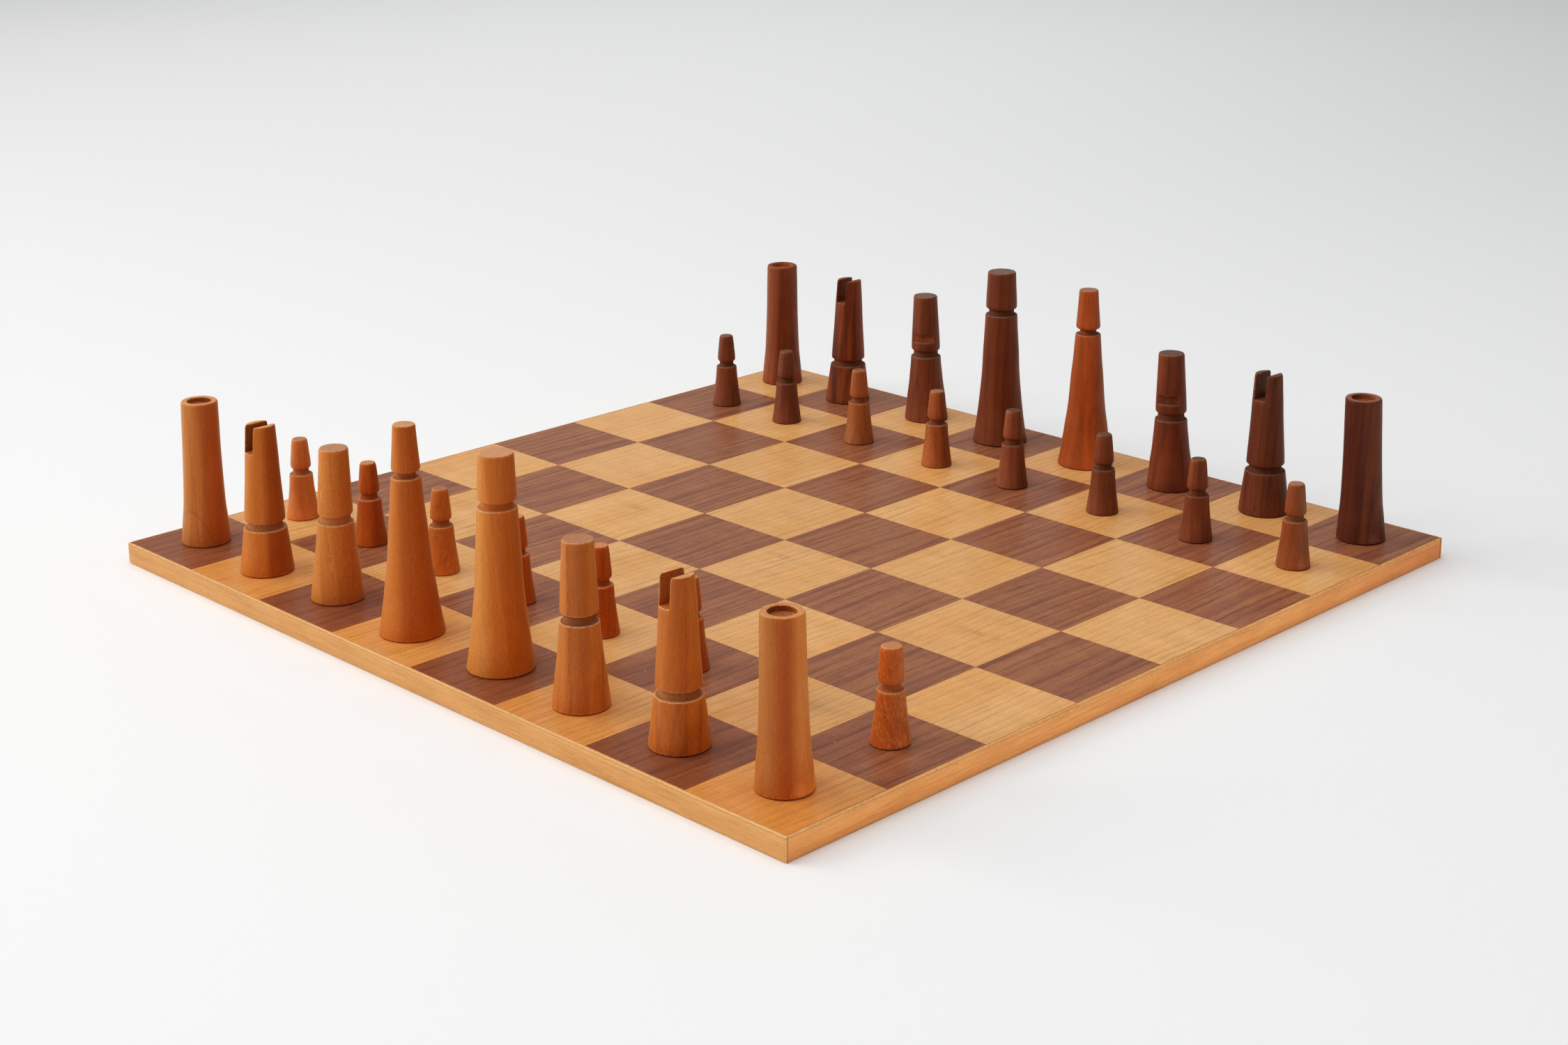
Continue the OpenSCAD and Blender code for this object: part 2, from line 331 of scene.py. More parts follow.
    # tiny scratches and dust
    d, rc = n.cells(n.combine(n.mul(u, 0.11), n.mul(v, 0.11), 1.0))
    r1, r2, r3 = n.xyz(rc)
    speck = n.mul(n.step(d, 0.022, 0.035, 1.0, 0.0), n.step(r1, 0.9, 0.91))
    c = n.mix(n.mul(speck, 0.7), c, lin(235, 215, 185))
    h = n.add(n.mul(line, -0.5), n.add(n.mul(fibre, 0.6), n.mul(pore, -0.8)))
    rough = n.mad(fibre, 0.14, 0.26)
    return n.finish(c, rough, n.bump(h, 0.018 * MM), specular=0.25)


def dark_veneer():
    """Walnut-brown veneer with tan and purplish streaks."""
    n = Net("dark_veneer_finish")
    g = n.attr("grain").outputs["Vector"]
    u, v, seed = n.xyz(g)
    slow = n.noise(n.combine(n.mul(u, 0.03), n.mul(v, 0.007), 13.1), detail=1)
    wav = n.noise(n.combine(n.mul(u, 0.16), n.mul(v, 0.02), 17.7), detail=2)
    u1 = n.add(n.mad(slow, 13.0, u), n.mul(wav, 2.4))
    t = n.add(n.mul(u1, 0.21), n.mul(n.noise(n.combine(n.mul(u1, 0.08), n.mul(v, 0.002), 21.3), detail=2), 3.0))
    f = n.math("FRACT", t)
    line = n.mul(n.step(f, 0.45, 0.93), n.step(f, 0.93, 1.0, 1.0, 0.0))
    line = n.mul(line, n.step(n.noise(n.combine(n.mul(u1, 0.4), n.mul(v, 0.025), 31.0), detail=2), 0.3, 0.66, 0.2, 1.0))
    tan = n.step(n.noise(n.combine(n.mul(u1, 0.22), n.mul(v, 0.008), 41.0), detail=3, rough=0.55), 0.42, 0.72)
    purple = n.step(n.noise(n.combine(n.mul(u1, 0.12), n.mul(v, 0.008), 51.0), detail=2), 0.42, 0.64)
    fibre = n.noise(n.combine(n.mul(u, 2.2), n.mul(v, 0.07), 24.0), detail=3, rough=0.62)
    pore = n.step(n.noise(n.combine(n.mul(u, 3.0), n.mul(v, 0.22), 29.0), detail=1), 0.60, 0.70)
    flame = n.noise(n.combine(n.mul(u, 0.06), n.mul(v, 0.14), 26.0), detail=2)
    c = n.mix(purple, lin(152, 93, 60), lin(136, 79, 56))
    c = n.mix(n.mul(tan, 0.5), c, lin(168, 106, 66))
    by = n.mul(n.xyz(n.coord("Object"))[1], 1000.0)
    # the dark squares along the light side go darker and redder: painted shade and painted warm reflection of the light
    # men standing on them
    c = n.mix(n.step(by, -190.0, -135.0, 0.6, 0.0), c, lin(124, 62, 34))
    c = n.mix(n.mul(line, 0.62), c, lin(92, 50, 36))
    dash = n.step(n.noise(n.combine(n.mul(u, 1.5), n.mul(v, 0.035), 34.0), detail=2, rough=0.6), 0.58, 0.70)
    c = n.mix(n.mul(dash, 0.50), c, lin(92, 50, 36))
    c = n.mix(n.mul(pore, 0.42), c, lin(86, 44, 30))
    grain = n.noise(n.combine(n.mul(u, 2.2), n.mul(v, 0.8), 39.0), detail=2, rough=0.7)
    c = n.scale_colour(c, n.mad(grain, 0.56, 0.72))
    bright = n.add(n.add(n.mad(fibre, 0.66, 0.67), n.mad(flame, 0.26, -0.13)), n.mad(seed, 0.14, -0.07))
    c = n.scale_colour(c, bright)
    d, rc = n.cells(n.combine(n.mul(u, 0.10), n.mul(v, 0.10), 1.0))
    r1, r2, r3 = n.xyz(rc)
    speck = n.mul(n.step(d, 0.022, 0.035, 1.0, 0.0), n.step(r1, 0.86, 0.87))
    c = n.mix(n.mul(speck, 0.6), c, lin(225, 205, 190))
    h = n.add(n.mul(line, -0.4), n.add(n.mul(fibre, 0.6), n.mul(pore, -0.8)))
    rough = n.mad(fibre, 0.14, 0.27)
    return n.finish(c, rough, n.bump(h, 0.02 * MM), specular=0.25)


def band_wood(name, base, line_colour, seed, along, end_colour=lin(170, 112, 84)):
    """Solid honey-coloured edging. The grain attribute holds millimetres across the band, along it, and through it."""
    n = Net(name)
    g = n.attr("grain").outputs["Vector"]
    u, v, w = n.xyz(g)
    wav = n.noise(n.combine(n.mul(u, 0.3), n.mul(v, 0.012), seed), detail=2)
    u1 = n.mad(wav, 3.2, u)
    t = n.add(n.mul(u1, 0.42), n.mul(n.noise(n.combine(n.mul(u1, 0.2), n.mul(v, 0.004), seed + 3), detail=2), 2.2))
    f = n.math("FRACT", t)
    line = n.mul(n.step(f, 0.4, 0.9), n.step(f, 0.9, 1.0, 1.0, 0.0))
    line = n.mul(line, n.step(n.noise(n.combine(n.mul(u1, 0.7), n.mul(v, 0.02), seed + 5), detail=2), 0.35, 0.7))
    fibre = n.noise(n.combine(n.mul(u, 3.0), n.mul(v, 0.10), n.mul(w, 3.0)), detail=3, rough=0.6)
    blot = n.noise(n.combine(n.mul(u, 0.12), n.mul(v, 0.03), seed + 9), detail=2)
    wear = n.attr("wear").outputs["Fac"]
    grime_and_shade = n.attr("grime_and_shade").outputs["Fac"]
    c = n.mix(n.step(blot, 0.35, 0.7, 0.0, 0.45), base, line_colour)
    c = n.mix(n.mul(line, 0.6), c, line_colour)
    c = n.scale_colour(c, n.mad(fibre, 0.60, 0.70))
    if along == "x":
        bx = n.mul(n.xyz(n.coord("Object"))[0], 1000.0)
        c = n.scale_colour(c, n.math("MAXIMUM", n.mad(bx, 0.00012, 1.03), 0.9))
    else:
        by = n.mul(n.xyz(n.coord("Object"))[1], 1000.0)
        c = n.mix(n.step(by, 90.0, 198.0), c, n.vec("MULTIPLY", c, (0.83, 0.72, 0.72)))
    ragged = n.noise(n.combine(n.mul(u, 1.1), n.mul(v, 0.5), n.mul(w, 1.0)), detail=3)
    c = n.mix(n.mul(wear, n.step(ragged, 0.3, 0.62, 0.1, 0.7)), c, lin(240, 194, 132))
    # darker along the glue line at the top inner edge, which is grime, and along the bottom, which is painted shade
    # under the board
    c = n.mix(n.mul(grime_and_shade, n.step(ragged, 0.3, 0.6, 0.35, 0.9)), c, lin(120, 66, 34))
    pit = n.step(n.noise(n.combine(n.mul(u, 2.4), n.mul(v, 0.55), n.mul(w, 2.4)), detail=1), 0.64, 0.73)
    c = n.mix(n.mul(pit, 0.38), c, lin(140, 84, 42))
    nx, ny, nz = n.xyz(n.coord("Normal"))
    height = n.mul(n.xyz(n.coord("Object"))[2], 1000.0)
    rim = n.mul(n.step(height, 8.0, 8.4), n.step(height, 8.5, 8.75, 1.0, 0.0))
    c = n.mix(n.mul(rim, n.step(ragged, 0.3, 0.6, 0.25, 0.6)), c, lin(196, 118, 54))
    endface = n.step(n.math("ABSOLUTE", nx if along == "x" else ny), 0.7, 0.95)
    c = n.mix(n.mul(endface, n.mad(ragged, 0.3, 0.65)), c, end_colour)
    h = n.add(n.mul(fibre, 0.6), n.mul(line, -0.3))
    return n.finish(c, n.mad(fibre, 0.16, 0.40), n.bump(h, 0.03 * MM), specular=0.25)


def hidden_wood(name, base, grain_scale):
    """Core and backing: seen only from below and where the board is taken apart."""
    n = Net(name)
    p = n.mapping(n.coord("Object"), scale=(1000, 1000, 1000))
    x, y, z = n.xyz(p)
    fibre = n.noise(n.combine(n.mul(x, 1.2 * grain_scale), n.mul(y, 0.05), n.mul(z, 1.2)), detail=3, rough=0.6)
    band = n.noise(n.combine(n.mul(x, 0.18 * grain_scale), n.mul(y, 0.006), n.mul(z, 0.2)), detail=2)
    f = n.math("FRACT", n.mul(band, 7.0))
    line = n.mul(n.step(f, 0.4, 0.92), n.step(f, 0.92, 1.0, 1.0, 0.0))
    c = n.mix(n.mul(line, 0.5), base, tuple(v * 0.55 for v in base[:3]) + (1,))
    c = n.scale_colour(c, n.mad(fibre, 0.4, 0.8))
    return n.finish(c, n.mad(fibre, 0.2, 0.45), n.bump(fibre, 0.03 * MM), specular=0.4)


# ------------------------------------------------------------------ the men's wood
def man_wood(name, tone, seed, tilt=(2.0, -1.5), heart=(34.0, 9.0), spacing=2.6, rings=0.3, streaks=0.4,
             flecks=0.5, fuzz=0.0, rough=0.40, grain=1.0, worn=0.7, lip=0.05, groove=0.9, neck=None, top=None, painted_hollow_shading=0.3, hair=0.0, fuzzy_top=0.25, tint=(1.0, 1.0, 1.0), planes=()):
    """Turned solid wood, as a solid texture in the piece's own millimetres, foot at zero and grain along its axis.
    heart is where the tree's heart lies beside the piece, so that growth rings make arches where the shape flares.
    planes are single growth lines: (direction of the normal in degrees, distance from the axis, slope, width,
    line strength, shade beyond it as a change or as three factors, pale flecks along it, fuzzy wood beyond it).
    The shade beyond a line is partly the wood's own colour and partly painted light and shade on that side of the man.
    neck is the colour of the roughly cut groove, top of the sawn top, lip how unbroken the worn line on the
    arrises is, hair how much the wood shows short torn fibres, fuzzy_top how many of them the sawn top has, and tint
    the turned wood's own shade within its tone."""
    n = Net(name)
    obj = n.coord("Object")
    raw = n.vec("MULTIPLY", obj, (1000.0, 1000.0, 1000.0))
    rx, ry, rz = n.xyz(raw)
    p = n.mapping(raw, loc=(seed * 13.7, seed * 7.3, seed * 3.1), rot=(math.radians(tilt[0]), math.radians(tilt[1]), seed * 2.399))
    x, y, z = n.xyz(p)
    q = n.combine(x, y, n.mul(z, 0.05))
    warp = n.noise(q, scale=0.11, detail=2, colour=True)
    wx, wy, wz = n.xyz(warp)
    cx, cy = heart[0] - seed * 13.7, heart[1] - seed * 7.3
    dx = n.mad(wx, 5.0, n.add(x, cx))
    dy = n.mad(wy, 5.0, n.add(y, cy))
    d = n.math("SQRT", n.add(n.mul(dx, dx), n.mul(dy, dy)))
    t = n.mad(n.noise(q, scale=0.05, detail=1), 2.2, n.mul(d, 1.0 / spacing))
    f = n.math("FRACT", t)
    late = n.mul(n.step(f, 0.45, 0.92), n.step(f, 0.92, 1.0, 1.0, 0.0))
    late = n.mul(late, n.step(n.noise(q, scale=0.3, detail=2), 0.3, 0.65, 0.25, 1.0))
    streak = n.noise(n.combine(n.mul(x, 0.30), n.mul(y, 0.30), n.mul(z, 0.008)), detail=2, rough=0.5)
    blotch = n.noise(n.combine(n.mul(rx, 0.06), n.mul(ry, 0.06), n.mul(rz, 0.035)), detail=2)
    fibre = n.noise(n.combine(n.mul(x, 2.3 * grain), n.mul(y, 2.3 * grain), n.mul(z, 0.10)), detail=3, rough=0.65)
    pore = n.step(n.noise(n.combine(n.mul(x, 3.4), n.mul(y, 3.4), n.mul(z, 0.40)), detail=1), 0.62, 0.71)
    fleckn = n.noise(n.combine(n.mul(x, 3.8), n.mul(y, 3.8), n.mul(z, 0.85)), detail=1)
    low = n.step(rz, 1.0, 24.0, 0.055, 0.0)
    fleck = n.step(n.add(fleckn, low), 0.735 - 0.05 * flecks, 0.80 - 0.04 * flecks)
    fz = n.noise(n.combine(n.mul(x, 2.0), n.mul(y, 2.0), n.mul(z, 0.7)), detail=4, rough=0.75, distortion=0.6)
    furry = n.step(fz, 0.54, 0.74)
    nx, ny, nz = n.xyz(n.coord("Normal"))
    well = n.attr("well").outputs["Fac"]
    end = n.mul(n.step(nz, 0.62, 0.93), n.mad(well, -1.0, 1.0))
    wear = n.attr("wear").outputs["Fac"]
    grime_and_shade = n.attr("grime_and_shade").outputs["Fac"]
    base, deep, pale, ringc, endc, grime, edge = tone
    endc = top or endc
    c = n.mix(n.mul(n.step(streak, 0.36, 0.66), streaks), base, deep)
    c = n.mix(n.mul(n.step(blotch, 0.40, 0.70), 0.5), c, pale)
    c = n.mix(n.mul(late, rings), c, ringc)
    c = n.mix(n.mul(pore, 0.28), c, ringc)
    c = n.scale_colour(c, n.mad(fibre, 0.44, 0.78))
    speck = n.noise(n.combine(n.mul(rx, 2.6), n.mul(ry, 2.6), n.mul(rz, 1.7)), detail=2, rough=0.7)
    c = n.scale_colour(c, n.mad(speck, 0.44, 0.78))
    c = n.mix(n.mul(fleck, 0.46), c, edge)
    if hair > 0:
        hn = n.noise(n.combine(n.mul(x, 2.1), n.mul(y, 2.1), n.mul(z, 0.55)), detail=3, rough=0.75, distortion=0.4)
        hm = n.noise(n.combine(n.mul(rx, 0.25), n.mul(ry, 0.25), n.mul(rz, 0.2)), detail=1)
        hs = n.mul(n.mul(n.step(hn, 0.52, 0.66), n.step(hm, 0.30, 0.55, 0.35, 1.0)), n.step(rz, 17.0, 24.0, 1.0, 0.35))
        c = n.mix(n.mul(n.step(hn, 0.30, 0.46, 1.0, 0.0), 0.45 * hair), c, ringc)
        c = n.mix(n.mul(hs, hair), c, edge)
    if fuzz > 0:
        c = n.mix(n.mul(furry, fuzz), c, edge)
    waver = n.noise(n.combine(1.0, seed, n.mul(rz, 0.12)), detail=2)
    # the shade beyond each line is partly the wood's own colour and partly painted light and shade on that side of the
    # man
    for angle, dist, slope, width, dark, shade, dots, fur in planes:
        ca, sa = math.cos(math.radians(angle)), math.sin(math.radians(angle))
        pd = n.add(n.mad(rx, ca, n.mul(ry, sa)), n.mad(rz, slope, n.mad(waver, 1.1, -0.55 - dist)))
        line = n.step(n.math("ABSOLUTE", pd), 0.0, width, 1.0, 0.0)
        beyond = n.step(pd, -0.45 * width, 0.7 * width)
        if isinstance(shade, tuple):
            c = n.mix(beyond, c, n.vec("MULTIPLY", c, shade))
        elif shade:
            c = n.scale_colour(c, n.mad(beyond, shade, 1.0))
        if fur:
            c = n.mix(n.mul(n.mul(furry, beyond), fur), c, edge)
        if dark:
            c = n.mix(n.mul(line, dark), c, ringc)
        if dots:
            dot = n.step(n.noise(n.combine(3.0, seed, n.mul(rz, 0.75)), detail=2), 0.5, 0.62)
            c = n.mix(n.mul(n.mul(line, dot), dots), c, edge)
    c = n.vec("MULTIPLY", c, tint)
    # end grain: paler, with saw marks and a speckle of open pores
    saw = n.noise(n.combine(n.mul(rx, 1.3), n.mul(ry, 5.2), 1.0), detail=3, rough=0.75)
    grit = n.noise(n.combine(n.mul(rx, 3.2), n.mul(ry, 3.2), 2.0), detail=2, rough=0.7)
    ec = n.mix(n.mul(late, 0.25), endc, ringc)
    ec = n.scale_colour(ec, n.add(n.mad(saw, 1.5, 0.05), n.mad(grit, 1.3, -0.45)))
    c = n.mix(n.mul(end, 0.85), c, ec)
    c = n.mix(n.mul(well, 0.32), c, grime)
    torn = n.noise(n.combine(n.mul(rx, 3.1), n.mul(ry, 3.1), n.mul(rz, 3.1)), detail=2, rough=0.7)
    c = n.scale_colour(c, n.mad(n.mul(well, n.mad(torn, 1.0, -0.5)), 2.0, 1.0))
    c = n.mix(n.mul(n.math("MAXIMUM", end, n.mul(well, 0.8)), n.step(torn, 0.54, 0.66, 0.0, fuzzy_top)), c, edge)
    # painted shade inside the rook's recess, the knight's slot and the bishop's notch, less on their floors; a negative
    # value paints light into them instead
    c = n.scale_colour(c, n.mad(n.mul(well, n.step(nz, 0.5, 0.9, 1.0, 0.55)), -painted_hollow_shading, 1.0))
    # rough grey-brown wood in the grooves, their upward faces under the overhang darkened as painted shade; worn pale
    # edges; a darker band round the foot, painted contact shade
    rag = n.noise(n.combine(rx, ry, rz), scale=0.9, detail=3, rough=0.7)
    crumb = n.noise(n.combine(n.mul(rx, 2.2), n.mul(ry, 2.2), n.mul(rz, 1.5)), detail=2, rough=0.6)
    if neck:
        grime = neck
    gc = n.scale_colour(n.mix(n.mul(n.step(crumb, 0.46, 0.68), 0.6), grime, ringc), n.mad(rag, 0.5, 0.75))
    # painted shade on the groove's upward faces, which lie under the overhang of the part above
    gc = n.scale_colour(gc, n.step(nz, 0.4, 0.85, 1.0, 0.72))
    c = n.mix(n.mul(grime_and_shade, n.step(rag, 0.3, 0.65, 0.6 * groove, groove)), c, gc)
    nick = n.noise(n.combine(n.mul(rx, 1.7), n.mul(ry, 1.7), n.mul(rz, 1.7)), detail=2, rough=0.7)
    c = n.mix(n.mul(wear, n.step(nick, 0.36, 0.50, 0.35, 0.0)), c, ringc)
    c = n.mix(n.mul(n.mul(wear, n.step(rz, 0.6, 2.0)), n.step(nick, 0.46, 0.60, lip, worn)), c, edge)
    foot = n.mul(n.mul(n.step(rz, 0.25, 0.55), n.step(rz, 0.9, 1.5, 1.0, 0.0)), n.step(nick, 0.50, 0.60))
    # a darker band round the very bottom of the foot: painted contact shade
    c = n.mix(n.mul(n.step(rz, 0.0, 0.9, 1.0, 0.0), 0.5), c, ringc)
    c = n.mix(n.mul(foot, 0.55 * worn), c, edge)
    rgh = n.add(n.mad(fibre, 0.16, rough), n.mul(n.math("MAXIMUM", end, grime_and_shade), 0.25))
    h = n.add(n.add(n.mul(fibre, 0.8), n.mul(pore, -0.7)), n.add(n.mul(late, 0.3), n.mul(fleck, -0.8)))
    h = n.add(h, n.mul(n.mul(end, grit), 1.5))
    n.bsdf.inputs["Sheen Weight"].default_value = 0.21 if name.startswith("light") else 0.05
    n.bsdf.inputs["Sheen Roughness"].default_value = 0.35
    n.bsdf.inputs["Sheen Tint"].default_value = (1.0, 0.86, 0.44, 1.0)
    return n.finish(c, rgh, n.bump(h, 0.03 * MM), specular=0.38 if name.startswith("light") else 0.30)


# tones: base, deep, pale, growth line, end grain, grime, worn edge
LIGHT = (lin(201, 103, 26), lin(190, 86, 14), lin(210, 116, 39), lin(149, 60, 12), lin(206, 136, 84), lin(156, 100, 56), lin(236, 178, 122))
LIGHT_RED = (lin(198, 90, 16), lin(184, 74, 10), lin(204, 101, 26), lin(143, 51, 9), lin(204, 128, 78), lin(152, 92, 50), lin(232, 168, 112))
LIGHT_GOLD = (lin(208, 121, 41), lin(198, 105, 28), lin(218, 131, 56), lin(157, 73, 16), lin(210, 144, 90), lin(158, 104, 60), lin(240, 186, 130))
LIGHT_ROSE = (lin(187, 106, 36), lin(176, 94, 28), lin(196, 120, 52), lin(149, 60, 12), lin(204, 136, 88), lin(158, 104, 60), lin(230, 176, 124))
LIGHT_DULL = (lin(190, 110, 43), lin(180, 98, 34), lin(200, 126, 60), lin(149, 64, 18), lin(204, 136, 88), lin(156, 104, 62), lin(230, 176, 124))
LIGHT_BROWN = (lin(186, 90, 22), lin(172, 76, 16), lin(196, 104, 34), lin(140, 54, 10), lin(196, 124, 74), lin(148, 92, 50), lin(226, 164, 108))
LIGHT_TAN = (lin(204, 124, 58), lin(196, 112, 46), lin(220, 146, 84), lin(160, 88, 36), lin(210, 146, 94), lin(166, 112, 66), lin(240, 190, 136))
DARK = (lin(120, 56, 29), lin(94, 39, 23), lin(132, 68, 38), lin(60, 25, 17), lin(94, 60, 47), lin(112, 64, 40), lin(154, 100, 68))
DARK_BROWN = (lin(136, 70, 39), lin(116, 57, 33), lin(150, 84, 50), lin(72, 34, 22), lin(104, 64, 46), lin(118, 70, 44), lin(164, 112, 78))
DARK_AMBER = (lin(166, 85, 38), lin(142, 68, 30), lin(176, 98, 48), lin(98, 46, 24), lin(150, 94, 62), lin(136, 80, 46), lin(190, 126, 82))
DARK_RED = (lin(148, 69, 33), lin(112, 46, 24), lin(162, 82, 43), lin(72, 29, 17), lin(106, 62, 44), lin(128, 72, 42), lin(166, 102, 66))
DARK_TAN = (lin(176, 100, 54), lin(152, 78, 38), lin(188, 121, 72), lin(108, 53, 30), lin(160, 104, 68), lin(148, 92, 54), lin(202, 138, 92))
DARK_ORANGE = (lin(176, 84, 30), lin(154, 66, 22), lin(188, 100, 42), lin(108, 46, 17), lin(170, 100, 60), lin(150, 80, 38), lin(198, 126, 76))
DARK_DULL = (lin(126, 63, 36), lin(104, 50, 30), lin(138, 75, 44), lin(70, 34, 22), lin(88, 60, 50), lin(114, 68, 44), lin(154, 104, 74))

# ------------------------------------------------------------------ the men's shapes
# turned patterns: height above the foot and radius, in millimetres
PATTERN = {
    "rook": [(0, 10.1), (0.6, 10.3), (4, 10), (8, 9.7), (12, 9.3), (16, 8.9), (22, 8.6), (30, 8.3), (38, 8.05),
             (46, 7.9), (54, 7.8), (61.6, 7.65), (62.4, 7.3)],
    "knight": [(0, 10.8), (0.6, 11.05), (3.5, 10.7), (7, 10.25), (11, 9.8), (15, 9.3), (18.6, 8.85), (19, 8.7),
               (19.2, 7.2), (21.9, 7), (22.2, 8.1), (22.6, 8.3), (26, 8.15), (32, 7.75), (38, 7.35), (44, 7),
               (50, 6.75), (56, 6.4), (61.8, 6.05), (62.8, 5.7)],
    "bishop": [(0, 10.4), (0.6, 10.65), (4, 10.3), (8, 9.75), (12, 9.4), (16, 8.8), (20, 8.3), (24, 7.95),
               (28, 7.55), (31.9, 7.3), (32.3, 7.15), (32.5, 6), (35.4, 5.9), (35.7, 6.75), (36.1, 6.95),
               (38, 6.95), (42, 6.8), (48, 6.5), (54, 6.2), (58, 6), (62.2, 5.8), (62.8, 5.5)],
    "queen": [(0, 12.6), (0.6, 12.8), (3.5, 12.25), (7, 11.6), (11, 11.05), (15, 10.45), (20, 9.8), (26, 8.9),
              (32, 8.3), (38, 7.85), (44, 7.4), (50, 6.75), (56, 6.3), (62.35, 5.83), (62.75, 5.68),
              (62.95, 3.8), (65.05, 3.7), (65.35, 4.9), (65.95, 5.5), (66.6, 5.55), (70, 5.3), (74, 5),
              (78, 4.7), (83, 4.4), (83.6, 4.15)],
    "king": [(0, 12.7), (0.6, 12.95), (3.5, 12.4), (7, 11.9), (11, 11.35), (15, 10.85), (20, 10.3), (26, 9.7),
             (32, 9.15), (38, 8.8), (44, 8.6), (50, 8.25), (56, 7.9), (62.4, 7.62), (62.8, 7.48), (63, 6.05),
             (65.5, 5.9), (65.8, 6.8), (66.4, 7.3), (67, 7.35), (72, 7.2), (78, 6.9), (82.8, 6.7),
             (83.6, 6.35)],
    "pawn": [(0, 7), (0.5, 7.15), (3, 6.8), (6, 6.4), (9, 6), (12, 5.65), (15, 5.35), (19.6, 5.05), (20, 4.9),
             (20.2, 3.5), (22.3, 3.4), (23.2, 4.32), (23.9, 4.4), (26.5, 4.28), (29, 4), (32, 3.75),
             (34.9, 3.4), (35.8, 3)],
}
GROOVE = {"knight": (18.9, 22.4), "bishop": (32.2, 35.9), "queen": (62.55, 65.8), "king": (62.6, 66.2), "pawn": (19.9, 23.3)}
SLOT_W, SLOT_D = 5.6, 11.2
NOTCH_Z, NOTCH_H, NOTCH_BACK = 40.0, 4.2, 4.2
RECESS_R, RECESS_WALL, RECESS_DISH = 5.05, 2.2, 0.8


def outline(kind, soft):
    """The pattern as a dense outline (radius, height) from the axis under the foot to the axis on top.
    soft is how far the arrises are rounded over, in millimetres."""
    pat = np.array(PATTERN[kind], float)
    z, r = pat[:, 0], pat[:, 1]
    h = z[-1]
    ang = np.arctan2(np.diff(r), np.diff(z))
    corner = [0] + [k for k in range(1, len(z) - 1) if abs(ang[k] - ang[k - 1]) > math.radians(13)] + [len(z) - 1]
    pr, pz = [0.0], [0.0]
    for a, b in zip(corner[:-1], corner[1:]):
        zz, rr = z[a:b + 1], r[a:b + 1]
        if len(zz) > 2:
            s = np.diff(rr) / np.diff(zz)
            m = np.r_[s[0], (s[1:] + s[:-1]) / 2, s[-1]]
            for k in range(len(zz) - 1):
                dz = zz[k + 1] - zz[k]
                t = np.arange(0, 1, 0.15 / dz)
                pr += list((2 * t**3 - 3 * t**2 + 1) * rr[k] + (t**3 - 2 * t**2 + t) * dz * m[k]
                           + (3 * t**2 - 2 * t**3) * rr[k + 1] + (t**3 - t**2) * dz * m[k + 1])
                pz += list(zz[k] + t * dz)
        else:
            pr.append(rr[0])
            pz.append(zz[0])
    pr.append(r[-1])
    pz.append(h)
    if kind == "rook":
        for a, b in ((RECESS_R + 0.25, h), (RECESS_R, h - 0.25), (RECESS_R - 0.05, h - RECESS_WALL),
                     (RECESS_R * 0.5, h - RECESS_WALL - RECESS_DISH * 0.7), (0, h - RECESS_WALL - RECESS_DISH)):
            pr.append(a)
            pz.append(b)
    else:
        pr.append(0.0)
        pz.append(h)
    pr, pz = np.array(pr), np.array(pz)
    s = np.r_[0, np.cumsum(np.hypot(np.diff(pr), np.diff(pz)))]
    step = 0.04
    ss = np.arange(0, s[-1], step)
    rr, zz = np.interp(ss, s, pr), np.interp(ss, s, pz)
    k = int(round(3 * soft / step))
    g = np.exp(-0.5 * (np.arange(-k, k + 1) * step / soft) ** 2)
    g /= g.sum()
    rp = np.r_[-rr[k:0:-1], rr, -rr[-2:-k - 2:-1]]
    zp = np.r_[zz[k:0:-1], zz, zz[-2:-k - 2:-1]]
    return np.convolve(rp, g, "valid"), np.convolve(zp, g, "valid")


def pick_rings(rr, zz, longest):
    """Rings along the outline: close together on the rounded arrises, far apart on the straight tapers."""
    dr, dz = np.gradient(rr), np.gradient(zz)
    a = np.unwrap(np.arctan2(dz, dr))
    ds = np.hypot(dr, dz)
    curve = np.abs(np.gradient(a)) / ds
    w = np.array([curve[max(0, i - 5):i + 6].max() for i in range(len(curve))])
    density = np.clip(w / math.radians(16), 1 / longest, 1 / 0.13)
    total = np.r_[0, np.cumsum(density[1:] * ds[1:])]
    start = np.searchsorted(rr, 0.8)
    end = len(rr) - 1 - np.searchsorted(rr[::-1], 0.8)
    n = int(math.ceil(total[end] - total[start]))
    at = np.interp(np.linspace(total[start], total[end], n + 1), total, np.arange(len(rr)))
    i = np.arange(len(rr))
    return np.interp(at, i, rr), np.interp(at, i, zz)


def with_ring_at(r, z, level, clear, rr, zz, after=0):
    """The same rings, with one exactly at a height on the outer side, and none close to it."""
    mask = [k for k in range(len(z)) if not (abs(z[k] - level) < clear and r[k] > 3.0)]
    r, z = r[mask], z[mask]
    outer = np.argmax(rr)
    zo, ro = zz[outer:], rr[outer:]
    top = np.argmax(zo)
    lr = float(np.interp(level, zo[:top + 1], ro[:top + 1]))
    k = int(np.searchsorted(z[:np.argmax(z) + 1], level))
    return np.insert(r, k, lr), np.insert(z, k, level)


